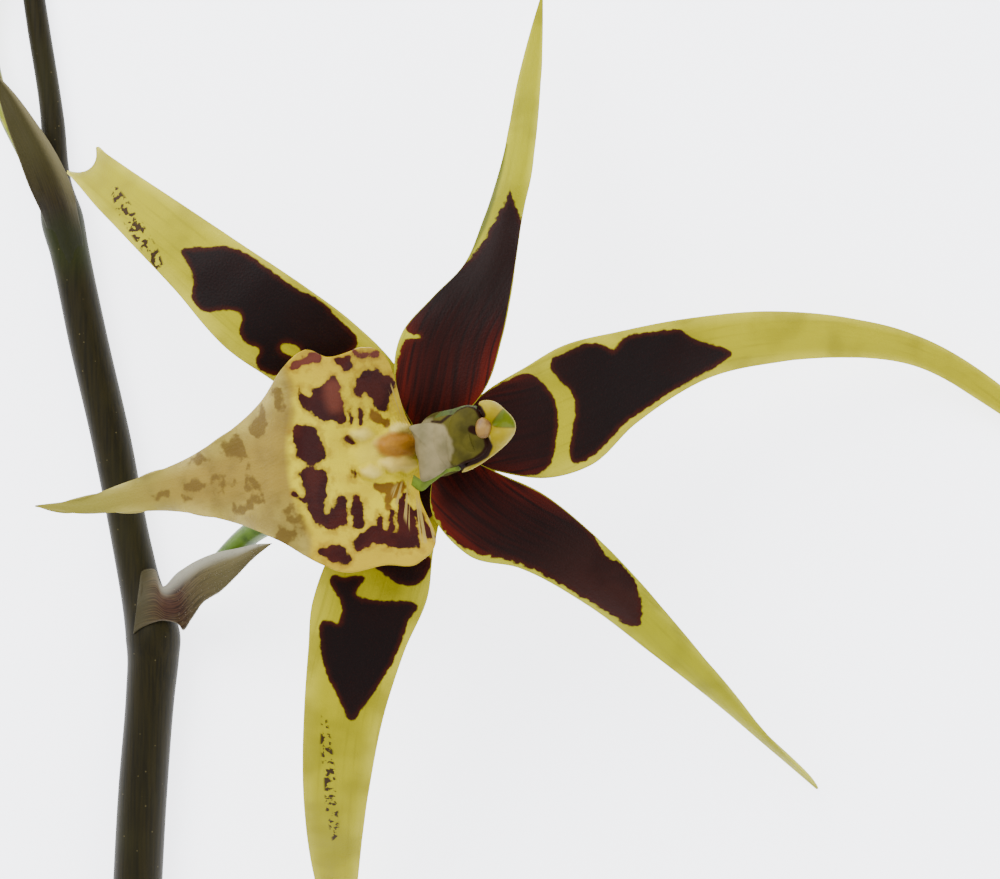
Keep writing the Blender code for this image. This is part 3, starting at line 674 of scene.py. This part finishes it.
def tube_frames(row_at, rings):
    """Middle, side and upward directions of each ring of a round piece, free of twist."""
    rows = [row_at(ring / rings) for ring in range(rings + 1)]
    middles = [Vector(row[0:3]) for row in rows]
    first = middles[1] - middles[0]
    lies_flat = abs(first.z) < first.length / 2
    side = Vector((-first.y, first.x, 0)) if lies_flat else Vector((0, 1, 0))
    frames = []
    for ring, row in enumerate(rows):
        ahead = (middles[min(ring + 1, rings)] - middles[max(ring - 1, 0)]).normalized()
        side = (side - ahead * side.dot(ahead)).normalized()
        frames.append((middles[ring], side * row[3], ahead.cross(side) * row[4]))
    return frames


def add_tube(name, node, slot, rows, cells, material, swell=None):
    """A fine round piece: a grid rolled round the rows' middle line, with its ends closed."""
    rows = np.array([(*row, row[3])[:5] for row in rows], dtype=float)
    rings, sides = cells
    row_at, length = smooth(rows, rows[:, 0:3])
    frames = tube_frames(row_at, rings)
    mesh = bmesh.new()
    bmesh.ops.create_grid(mesh, x_segments=rings, y_segments=sides, size=1)
    along_layer = mesh.verts.layers.float.new("along")
    turn_layer = mesh.verts.layers.float.new("turn")
    for vertex in mesh.verts:
        ring = round((vertex.co.x + 1) / 2 * rings)
        middle, side, up = frames[ring]
        turn = math.pi * (vertex.co.y - 0.5)
        size = swell(ring / rings, turn) if swell else 1.0
        point = middle + (side * math.cos(turn) + up * math.sin(turn)) * size
        point.z = max(point.z, 0.0)
        vertex[along_layer] = ring / rings * length
        vertex[turn_layer] = turn
        vertex.co = (point + BLOOM) * MM
    bmesh.ops.remove_doubles(mesh, verts=mesh.verts, dist=1e-6)
    edges = [edge for edge in mesh.edges if edge.is_boundary]
    caps = bmesh.ops.holes_fill(mesh, edges=edges, sides=0)["faces"]
    bmesh.ops.inset_region(mesh, faces=caps, thickness=0.12 * MM, depth=0.05 * MM)
    bmesh.ops.recalc_face_normals(mesh, faces=mesh.faces)
    return add_piece(name, mesh, material, node, slot)


def linear(code):
    """Turns an sRGB colour such as b9b84a into Blender's linear values."""
    parts = [int(code[start:start + 2], 16) / 255 for start in (0, 2, 4)]
    shades = [part / 12.92 if part <= 0.04045 else ((part + 0.055) / 1.055) ** 2.4 for part in parts]
    return (*shades, 1.0)


def put(tree, kind, inputs=None, **settings):
    """Adds a node with its settings, and each input's value or the output that feeds it."""
    node = tree.nodes.new(kind)
    for name, value in settings.items():
        setattr(node, name, value)
    for name, value in (inputs or {}).items():
        if isinstance(value, bpy.types.NodeSocket):
            tree.links.new(value, node.inputs[name])
        else:
            node.inputs[name].default_value = value
    return node


def field(tree, name):
    """A number stored for each point of a piece."""
    return put(tree, "ShaderNodeAttribute", attribute_name=name).outputs["Fac"]


def noise_at(tree, place, scale, detail=2.0):
    return put(tree, "ShaderNodeTexNoise", {"Vector": place, "Scale": scale, "Detail": detail}).outputs["Fac"]


def cells_at(tree, place, scale):
    return put(tree, "ShaderNodeTexVoronoi", {"Vector": place, "Scale": scale}).outputs["Distance"]


def plane(tree, x, y):
    return put(tree, "ShaderNodeCombineXYZ", {"X": x, "Y": y}).outputs[0]


def maths(tree, operation, first, second=0.0):
    return put(tree, "ShaderNodeMath", {0: first, 1: second}, operation=operation).outputs[0]


def times(tree, first, second):
    return maths(tree, "MULTIPLY", first, second)


def plus(tree, first, second):
    return maths(tree, "ADD", first, second)


def off(tree, value, middle=0.0):
    """How far a value is off a middle, on either side of it."""
    return maths(tree, "ABSOLUTE", maths(tree, "SUBTRACT", value, middle))


def ramp(tree, value, low, high, first=0.0, last=1.0):
    """Runs smoothly from first to last while a value goes from low to high."""
    numbers = {0: value, 1: low, 2: high, 3: first, 4: last}
    return put(tree, "ShaderNodeMapRange", numbers, interpolation_type="SMOOTHSTEP").outputs[0]


def blend(tree, share, first, second):
    """Mixes two colours, each a code or another node's output."""
    first, second = (linear(colour) if isinstance(colour, str) else colour for colour in (first, second))
    return put(tree, "ShaderNodeMix", {0: share, 6: first, 7: second}, data_type="RGBA").outputs[2]


def tint(tree, tone, colour, value, low, high, most=1.0):
    """Passes from a tone to another colour, at most up to a share, as a value goes from low to high."""
    return blend(tree, ramp(tree, value, low, high, 0.0, most), tone, colour)


def start_material(name):
    material = bpy.data.materials.new(name)
    material.use_nodes = True
    material.node_tree.nodes.clear()
    return material, material.node_tree, put(material.node_tree, "ShaderNodeTexCoord").outputs["Object"]


def finish_material(tree, colour, roughness, height, bump_mm, glow, glow_share, specular=0.35, sheen=0.0):
    """Ends a plant material: a waxy Principled surface, bumped, that lets some light through."""
    bump = put(tree, "ShaderNodeBump", {"Height": height, "Distance": bump_mm * MM, "Strength": 1.0})
    skin = put(tree, "ShaderNodeBsdfPrincipled", {
        "Base Color": colour, "Roughness": roughness, "Normal": bump.outputs["Normal"],
        "Specular IOR Level": specular, "Sheen Weight": sheen, "Sheen Roughness": 0.4})
    if glow_share:
        through = put(tree, "ShaderNodeBsdfTranslucent", {"Color": glow, "Normal": bump.outputs["Normal"]})
        both = put(tree, "ShaderNodeMixShader", {0: glow_share, 1: skin.outputs[0], 2: through.outputs[0]})
        put(tree, "ShaderNodeOutputMaterial", {"Surface": both.outputs[0]})
    else:
        put(tree, "ShaderNodeOutputMaterial", {"Surface": skin.outputs[0]})


def vein_pattern(tree, per_mm, stretch):
    """Noise drawn out along a blade, which runs as fine veins from its root to its tip."""
    across = times(tree, field(tree, "width"), per_mm)
    along = times(tree, field(tree, "along"), per_mm / stretch)
    return noise_at(tree, plane(tree, across, along), 1.0)


def tepal_material(name, yellows, ragged_mm, painted_glow_share, far_core):
    """Fresh waxy tepal tissue. Its veins and tiny cells give a silky grain, and its dark blotches
    have ragged edges, with a painted red glow of light through the tissue near the bloom's centre."""
    material, tree, place = start_material(name)
    yellow, margin, shade = yellows
    along = field(tree, "along")
    edge = off(tree, field(tree, "across"))
    veins = vein_pattern(tree, 1.7, 22.0)
    patches = noise_at(tree, place, 150.0)
    fine = noise_at(tree, place, 1000.0, 3.0)

    # Yellow-green ground with soft patches and faint veins, and lighter margins that are partly their
    # own colour and partly painted glow of light through the thin tissue
    ground = tint(tree, yellow, margin, edge, 0.5, 1.0)
    ground = tint(tree, ground, shade, veins, 0.5, 0.75, 0.4)
    ground = tint(tree, ground, shade, patches, 0.42, 0.7, 0.55)
    specks = times(tree, ramp(tree, fine, 0.51, 0.56), ramp(tree, field(tree, "specks"), -0.1, 0.3))
    ground = blend(tree, specks, ground, "38270f")
    # Painted shade on the upper petal's strip along a fold, in dull green
    ground = tint(tree, ground, "3f4a14", field(tree, "painted_fold_shade"), -0.2, 0.4, 0.8)

    # Blotches are nearly black, redder along their edges, with painted red glow near the bloom's centre
    deep = plus(tree, field(tree, "marks"), ramp(tree, fine, 0.25, 0.75, -ragged_mm, ragged_mm))
    mask = ramp(tree, deep, -0.14, 0.14)
    core = tint(tree, "0d0402", far_core, along, 14.0, 30.0)
    blotch = tint(tree, "350d03", core, deep, 0.05, 0.9)
    blotch = tint(tree, blotch, "160503", patches, 0.45, 0.65, 0.5)
    # Painted red glow of light through the tissue, strongest near the bloom's centre
    painted_glow = times(tree, ramp(tree, along, 24.0, 4.0), ramp(tree, veins, 0.3, 0.72, 0.1, painted_glow_share))
    blotch = blend(tree, painted_glow, blotch, "3a0902")
    # Painted red glow of light through the thin margins near the root
    rim = times(tree, ramp(tree, along, 19.0, 9.0), ramp(tree, edge, 0.5, 0.97))
    rim = times(tree, rim, ramp(tree, veins, 0.3, 0.6, 0.0, painted_glow_share))
    blotch = blend(tree, rim, blotch, "5e1204")
    colour = blend(tree, mask, ground, blotch)
    # A thin painted glow of light through the blade's very edge
    colour = tint(tree, colour, margin, edge, 0.965, 0.995, 0.85)
    glow = blend(tree, mask, ground, "5a1204")

    height = plus(tree, cells_at(tree, place, 3800.0), times(tree, veins, 1.4))
    finish_material(tree, colour, 0.55, height, 0.03, glow, 0.25, 0.12)
    return material


def lip_material():
    """The lip's waxy tissue: bright yellow with maroon spots up to its crease, and beyond it a straw
    tone with olive spots that is a painted washed-out reflection; pale fringed lines at its base
    corners and a cream and orange callus."""
    material, tree, place = start_material("spotted_lip_tissue")
    along = field(tree, "along")
    edge = off(tree, field(tree, "across"))
    crease = field(tree, "crease")
    veins = vein_pattern(tree, 1.6, 14.0)
    patches = noise_at(tree, place, 260.0, 3.0)

    # Yellow ground before the crease, straw beyond it as a painted washed-out reflection, and a
    # painted shadow line along the crease
    ground = tint(tree, "d2c014", "bca018", edge, 0.35, 1.0)
    ground = tint(tree, ground, "a0841a", patches, 0.45, 0.75, 0.4)
    # Beyond the crease, greyer straw painted as the washed-out reflection of the bent tip
    far = tint(tree, "927a2e", "a89646", edge, 0.3, 0.95)
    far = tint(tree, far, "6e5a26", patches, 0.4, 0.7, 0.6)
    far = tint(tree, far, "8a8232", along, 34.0, 56.0)
    ground = tint(tree, ground, far, crease, -0.5, 0.7)
    # Painted shadow along the crease
    painted_fold_shade = ramp(tree, off(tree, crease), 0.9, 0.0, 0.0, 0.55)
    ground = blend(tree, times(tree, painted_fold_shade, ramp(tree, patches, 0.35, 0.6)), ground, "7e6428")

    # Spots beyond the crease, dimmed by painted reflection, and ochre spots, then the maroon ones
    # with a brownish seam round each
    wander = ramp(tree, noise_at(tree, place, 900.0), 0.25, 0.75, -0.25, 0.25)
    drift = ramp(tree, noise_at(tree, place, 420.0, 3.0), 0.3, 0.7, -1.1, 1.1)
    colour = tint(tree, ground, "5d4716", plus(tree, field(tree, "reflection_dimmed"), drift), -0.5, 0.35, 0.8)
    colour = tint(tree, colour, "5e3208", plus(tree, field(tree, "ochre"), wander), -0.2, 0.2, 0.9)
    spot = tint(tree, "2e0300", "3c0c03", patches, 0.42, 0.6)
    spot = tint(tree, spot, "6a3222", field(tree, "rosy"), -0.8, 0.8, 0.8)
    deep = plus(tree, field(tree, "marks"), wander)
    colour = tint(tree, colour, "8a6414", plus(tree, deep, wander), -0.9, 0.0, 0.5)
    colour = tint(tree, colour, spot, deep, -0.16, 0.12)

    # Pale raised lines run over the spots at both corners of the base
    spokes = noise_at(tree, plane(tree, field(tree, "spoke"), times(tree, along, 0.1)), 1.0)
    line = times(tree, ramp(tree, field(tree, "fringe"), -0.2, 0.4), ramp(tree, spokes, 0.53, 0.58, 0.0, 0.8))
    colour = blend(tree, line, colour, "a8924c")
    colour = tint(tree, colour, "d8c464", field(tree, "callus"), 0.1, 0.75, 0.85)
    tan = tint(tree, "b27e26", "9c6a1c", patches, 0.35, 0.65)
    colour = tint(tree, colour, tan, field(tree, "orange"), 0.1, 0.75)

    height = plus(tree, cells_at(tree, place, 3400.0), times(tree, veins, 2.0))
    finish_material(tree, colour, 0.5, height, 0.04, colour, 0.22, 0.18)
    return material


def stalk_material():
    """Smooth dark stalk skin with fine lengthwise streaks, a greener node and pale specks."""
    material, tree, place = start_material("dark_olive_stalk_skin")
    drawn = put(tree, "ShaderNodeMapping", {"Vector": place, "Scale": (2600.0, 90.0, 2600.0)}).outputs[0]
    streaks = noise_at(tree, drawn, 1.0, 3.0)
    tone = tint(tree, "1f1a06", "141104", streaks, 0.35, 0.7)
    tone = tint(tree, tone, "242c0a", off(tree, field(tree, "along"), STALK_NODE_AT), 8.0, 1.0, 0.5)
    tone = tint(tree, tone, "24220c", noise_at(tree, place, 90.0), 0.45, 0.7, 0.5)
    tone = tint(tree, tone, "5b5234", cells_at(tree, place, 620.0), 0.09, 0.05, 0.5)
    finish_material(tree, tone, 0.6, streaks, 0.03, tone, 0.0, 0.1, sheen=0.1)
    return material


def bract_material(name, tones, root_mm, broad_side):
    """A dry papery bract that leaves the spike in the spike's colour. It has fine lengthwise ribs, a
    dull blush above its base and a thin pale margin, broader on one side, where light comes through."""
    material, tree, place = start_material(name)
    root, middle, shade, blush, far, margin = tones
    along = field(tree, "along")
    side = times(tree, field(tree, "across"), broad_side)
    veins = vein_pattern(tree, 5.5, 30.0)
    patches = noise_at(tree, place, 260.0, 3.0)
    tone = tint(tree, middle, shade, veins, 0.42, 0.6, 0.9)
    blushing = ramp(tree, off(tree, along, BLUSH_AT), 4.5, 1.0)
    blushing = times(tree, blushing, ramp(tree, patches, 0.35, 0.6, 0.3, 0.9))
    tone = blend(tree, blushing, tone, blush)
    dark_ribs = times(tree, blushing, ramp(tree, veins, 0.5, 0.58, 0.0, 0.7))
    tone = blend(tree, dark_ribs, tone, "1d130c")
    tone = tint(tree, tone, far, along, 9.0, 19.0, 0.75)
    risen = plus(tree, along, times(tree, patches, 3.0))
    tone = tint(tree, root, tone, risen, root_mm / 2, root_mm)
    broad = ramp(tree, side, 0.3, 0.9, 0.0, 0.8)
    narrow = ramp(tree, side, -0.9, -0.99, 0.0, 0.4)
    thin = ramp(tree, along, root_mm * 0.3, root_mm * 1.3)
    pale = times(tree, maths(tree, "MAXIMUM", broad, narrow), thin)
    tone = blend(tree, pale, tone, margin)
    finish_material(tree, tone, 0.6, veins, 0.06, tone, 0.2, 0.2)
    return material


def bud_material():
    """Glossy bud skin, greener between its three sepals where they meet in dark seams."""
    material, tree, place = start_material("green_bud_skin")
    seam = maths(tree, "COSINE", plus(tree, times(tree, field(tree, "turn"), 3.0), math.pi / 2))
    patches = noise_at(tree, place, 300.0)
    tone = tint(tree, "94961c", "6d7a18", patches, 0.35, 0.7)
    tone = tint(tree, tone, "4e5a1c", seam, -0.7, -0.98, 0.8)
    tone = tint(tree, tone, "5a3018", noise_at(tree, place, 800.0), 0.6, 0.66, 0.5)
    finish_material(tree, tone, 0.4, patches, 0.03, tone, 0.1)
    return material


def column_material():
    """The column: a whitish front, an olive body and thin dark brown marks about the stigma."""
    material, tree, place = start_material("pale_and_olive_column_skin")
    patches = noise_at(tree, place, 420.0, 3.0)
    body = tint(tree, "4e4816", "38330f", patches, 0.35, 0.7)
    front = tint(tree, "877b58", "686142", patches, 0.3, 0.75)
    wander = ramp(tree, patches, 0.3, 0.7, -0.35, 0.35)
    tone = tint(tree, body, front, plus(tree, field(tree, "front"), wander), -0.35, 0.35)
    tone = tint(tree, tone, DARK_BROWN, field(tree, "dark"), -0.2, 0.1)
    finish_material(tree, tone, 0.6, patches, 0.05, tone, 0.1, 0.06)
    return material


def hood_material():
    """The anther cap: two bright yellow lobes with a green wedge between them and a cream rim."""
    material, tree, place = start_material("yellow_and_green_cap_skin")
    patches = noise_at(tree, place, 500.0)
    wedge = field(tree, "wedge")
    tone = tint(tree, "887604", "94840c", patches, 0.35, 0.7)
    tone = tint(tree, tone, "525c02", wedge, -0.12, 0.12)
    # Painted shade along the creases at the wedge's edges
    tone = tint(tree, tone, "4c4402", off(tree, wedge), 0.2, 0.0, 0.6)
    tone = tint(tree, tone, "a0904c", field(tree, "inside"), 0.16, 0.03, 0.7)
    tone = tint(tree, tone, DARK_BROWN, field(tree, "dark"), -0.2, 0.1)
    finish_material(tree, tone, 0.5, patches, 0.03, tone, 0.12, 0.12)
    return material


def plain_material(name, colour, shade, roughness, patch_mm=2.0):
    """Smooth living tissue of one colour, with soft darker patches."""
    material, tree, place = start_material(name)
    patches = noise_at(tree, place, 1000 / patch_mm, 3.0)
    tone = tint(tree, colour, shade, patches, 0.38, 0.68)
    finish_material(tree, tone, roughness, patches, 0.04, tone, 0.12)
    return material


def add_tepals():
    """The three sepals and two petals, each with its own blotches, specks, painted fold shade and hole."""
    petal = tepal_material("yellow_green_petal_tissue", PETAL_YELLOWS, 0.22, 0.9, "180804")
    dull = tepal_material("dull_marked_petal_tissue", PETAL_YELLOWS, 0.22, 0.9, "2e140e")
    sepal = tepal_material("olive_yellow_sepal_tissue", SEPAL_YELLOWS, 0.12, 0.35, "0e0605")
    tepals = (
        ("dorsal_sepal", DORSAL_SEPAL, sepal, DORSAL_MARKS, (), (), ()),
        ("upper_petal", UPPER_PETAL, petal, UPPER_PETAL_MARKS, (), UPPER_PETAL_FOLD_SHADE, ()),
        ("lower_petal", LOWER_PETAL, dull, LOWER_PETAL_MARKS, (), (), ()),
        ("lower_side_sepal", LOWER_SIDE_SEPAL, sepal, LOWER_SEPAL_MARKS, LOWER_SEPAL_SPECKS, (), ()),
        ("upper_side_sepal", UPPER_SIDE_SEPAL, sepal, UPPER_SEPAL_MARKS, UPPER_SEPAL_SPECKS, (),
         UPPER_SEPAL_HOLE),
    )
    for node, rows, tissue, marks, specks, painted_fold_shade, holes in tepals:
        item = add_blade(node + "_blade", node, "tepal_yellow", rows, TEPAL_CELLS, TEPAL_THICK, tissue,
                         TEPAL_WAVES, marks, holes=holes)
        set_depth(item, "specks", (), specks)
        set_depth(item, "painted_fold_shade", (), painted_fold_shade)


def add_lip():
    """The broad pointed lip with its callus and all its spots."""
    def shape(point, share, side):
        point.z += callus_height(point.x, point.y)[0]

    lip = add_blade("lip_blade", "lip", "lip_yellow", LIP, LIP_CELLS, LIP_THICK, lip_material(), LIP_WAVES,
                    LIP_MARKS, LIP_STROKES, shape)
    places = places_of(lip)
    callus = np.array([callus_height(x, y) for x, y in places])
    set_field(lip, "callus", callus[:, 0] / CALLUS_TOP)
    set_field(lip, "orange", callus[:, 1])
    set_field(lip, "spoke", SPOKES * np.arctan2(places[:, 1], places[:, 0] - SPOKES_FROM))
    for name, strokes in (("ochre", LIP_OCHRE), ("reflection_dimmed", LIP_REFLECTION_DIMMED_SPOTS), ("rosy", LIP_ROSY)):
        set_depth(lip, name, (), strokes)
    set_depth(lip, "fringe", LIP_FRINGE)
    set_depth(lip, "crease", LIP_BEYOND)


def ribs(depth, first=0.0, last=1.0):
    """Gives the swelling of a piece with three rounded ribs between two shares of its length."""
    def swell(share, turn):
        if first <= share <= last:
            fade = math.sin(math.pi * (share - first) / (last - first))
            return 1 + depth * fade * math.cos(3 * turn + math.pi / 2)
        return 1.0
    return swell


def over(first, second, blend_mm=0.8):
    """The higher of two heights, rounded where one passes into the other."""
    return max(first, second) + max(0.0, blend_mm - abs(first - second)) ** 2 / (4 * blend_mm)


def lay_on_spike(root_depth):
    """Gives the shaping that keeps a bract above the spike and the stalk that it holds."""
    def shape(point, share, side):
        lift = BRACT_GAP - root_depth * max(0.0, 1 - share / 0.25)
        seat = surface_height(FLOWER_STALK, point.x, point.y) + lift
        held = max(surface_height(rows, point.x, point.y) for rows in (BLOOM_STALK, SIDE_BUD))
        point.z = over(point.z, over(seat, held + HELD_GAP))
    return shape


def add_spike():
    """The cut spike, the bloom's own stalk and its base, both buds and both bracts."""
    stalk = stalk_material()
    green = plain_material("green_stalk_skin", "4a660c", "344c08", 0.4)
    bud = bud_material()
    grey_bract = bract_material("papery_bract_skin", LOWER_BRACT_TONES, 7.0, 1.0)
    olive_bract = bract_material("olive_bract_skin", UPPER_BRACT_TONES, 13.0, -1.0)
    tubes = (
        ("flower_stalk_skin", "flower_stalk", "stalk_brown", FLOWER_STALK, (420, 56), stalk),
        ("bloom_stalk_skin", "bloom_stalk", "stalk_green", BLOOM_STALK, (160, 40), green, ribs(OVARY_RIBS)),
        ("bloom_base_skin", "bloom_stalk", "stalk_green", BLOOM_BASE, (30, 40), green),
        ("side_bud_skin", "side_bud", "bud_green", SIDE_BUD, (180, 48), bud, ribs(BUD_RIBS, 0.35)),
        ("end_bud_skin", "end_bud", "bud_green", END_BUD, (60, 36), bud, ribs(BUD_RIBS)),
    )
    for tube in tubes:
        add_tube(*tube)
    on_lower_node = lay_on_spike(0.0)
    bracts = (
        ("lower_bract", LOWER_BRACT, grey_bract, on_lower_node),
        ("upper_bract", UPPER_BRACT, olive_bract, lay_on_spike(0.7)),
    )
    for node, rows, skin, shape in bracts:
        add_blade(node + "_blade", node, "bract_grey", rows, BRACT_CELLS, BRACT_THICK, skin, shape=shape)
    add_hairs("lower_bract_hairs", "lower_bract", "bract_grey", LOWER_BRACT, on_lower_node)


def add_column():
    """The column with its foot, face, wings and the knob at its stigma, and the hooded anther cap."""
    place = ("column", "column_green")
    skin = column_material()
    body = add_tube("column_body", *place, COLUMN, (90, 96), skin)
    foot = add_pillow("column_foot", *place, COLUMN_FOOT, 42.2, 2.6, 1.3, skin, (), 0.3)
    face = add_pillow("column_face", *place, COLUMN_FACE, 45.4, 3.0, 0.9, skin, FACE_HOLLOW, 0.12)
    for item in (body, foot, face):
        set_depth(item, "front", COLUMN_FRONT)
        set_depth(item, "dark", (), COLUMN_DARK)
    cap = add_pillow("anther_cap_hood", "anther_cap", "cap_yellow", HOOD, 44.9, 1.2, 1.1, hood_material(),
                     HOOD_LOBES, 0.12)
    set_depth(cap, "wedge", HOOD_WEDGE)
    set_depth(cap, "inside", [HOOD])
    set_depth(cap, "dark", (), COLUMN_DARK)
    knob = plain_material("cream_knob_skin", "8c6a2e", "6a4a1c", 0.45, 1.0)
    add_pillow("column_knob", *place, KNOB, 46.2, 0.8, 0.7, knob)
    # Both wings are one green tissue: the upper one's darker copy is painted shade, the lower one's brighter
    # copy painted light
    shaded_wing_skin = plain_material("shaded_green_column_wing", "3c4a0c", "2e2c0c", 0.6, 0.8)
    lit_wing_skin = plain_material("lit_green_column_wing", "647a14", "56660e", 0.5, 0.8)
    add_blade("column_upper_wing", *place, UPPER_WING, WING_CELLS, WING_THICK, shaded_wing_skin)
    add_blade("column_lower_wing", *place, LOWER_WING, WING_CELLS, WING_THICK, lit_wing_skin)


def add_light(name, place, size, power):
    lamp = bpy.data.lights.new(name, "AREA")
    lamp.size = size
    lamp.energy = power
    item = add_object(name, lamp)
    item.location = place
    item.rotation_euler = (LIGHTS_AIM - Vector(place)).to_track_quat("-Z", "Y").to_euler()


def add_floor():
    """A pale paper surface just under the part."""
    material = bpy.data.materials.new("pale_paper_floor")
    material.use_nodes = True
    paper = material.node_tree.nodes["Principled BSDF"].inputs
    paper["Base Color"].default_value = linear("f6f7fb")
    paper["Roughness"].default_value = 0.9
    paper["Emission Color"].default_value = linear("f6f7ff")
    paper["Emission Strength"].default_value = 3.1
    mesh = bmesh.new()
    bmesh.ops.create_grid(mesh, x_segments=1, y_segments=1, size=1.5)
    floor = add_mesh("floor", mesh, material)
    floor.location.z = -0.2 * MM


def add_room():
    """Soft light from all round, with a window at the upper left and a weaker fill."""
    world = bpy.data.worlds.new("soft_room")
    world.use_nodes = True
    sky = world.node_tree.nodes["Background"].inputs
    sky["Color"].default_value = linear("f4f6fb")
    sky["Strength"].default_value = 1.2
    bpy.context.scene.world = world
    add_light("window", (-0.35, 0.45, 0.55), 0.5, 9.0)
    add_light("far_fill", (0.5, -0.2, 0.4), 0.6, 3.0)


def add_camera():
    """A camera over the bloom that looks straight down."""
    camera = add_object("camera", bpy.data.cameras.new("camera"))
    camera.data.lens = CAMERA_LENS
    camera.data.sensor_width = SENSOR_WIDTH
    camera.data.clip_start = 0.01
    place = (BLOOM.x + CAMERA_FROM_BLOOM[0], BLOOM.y + CAMERA_FROM_BLOOM[1], CAMERA_HEIGHT)
    camera.location = Vector(place) * MM
    bpy.context.scene.camera = camera


def main():
    add_tepals()
    add_lip()
    add_spike()
    add_column()
    add_floor()
    add_room()
    add_camera()


main()
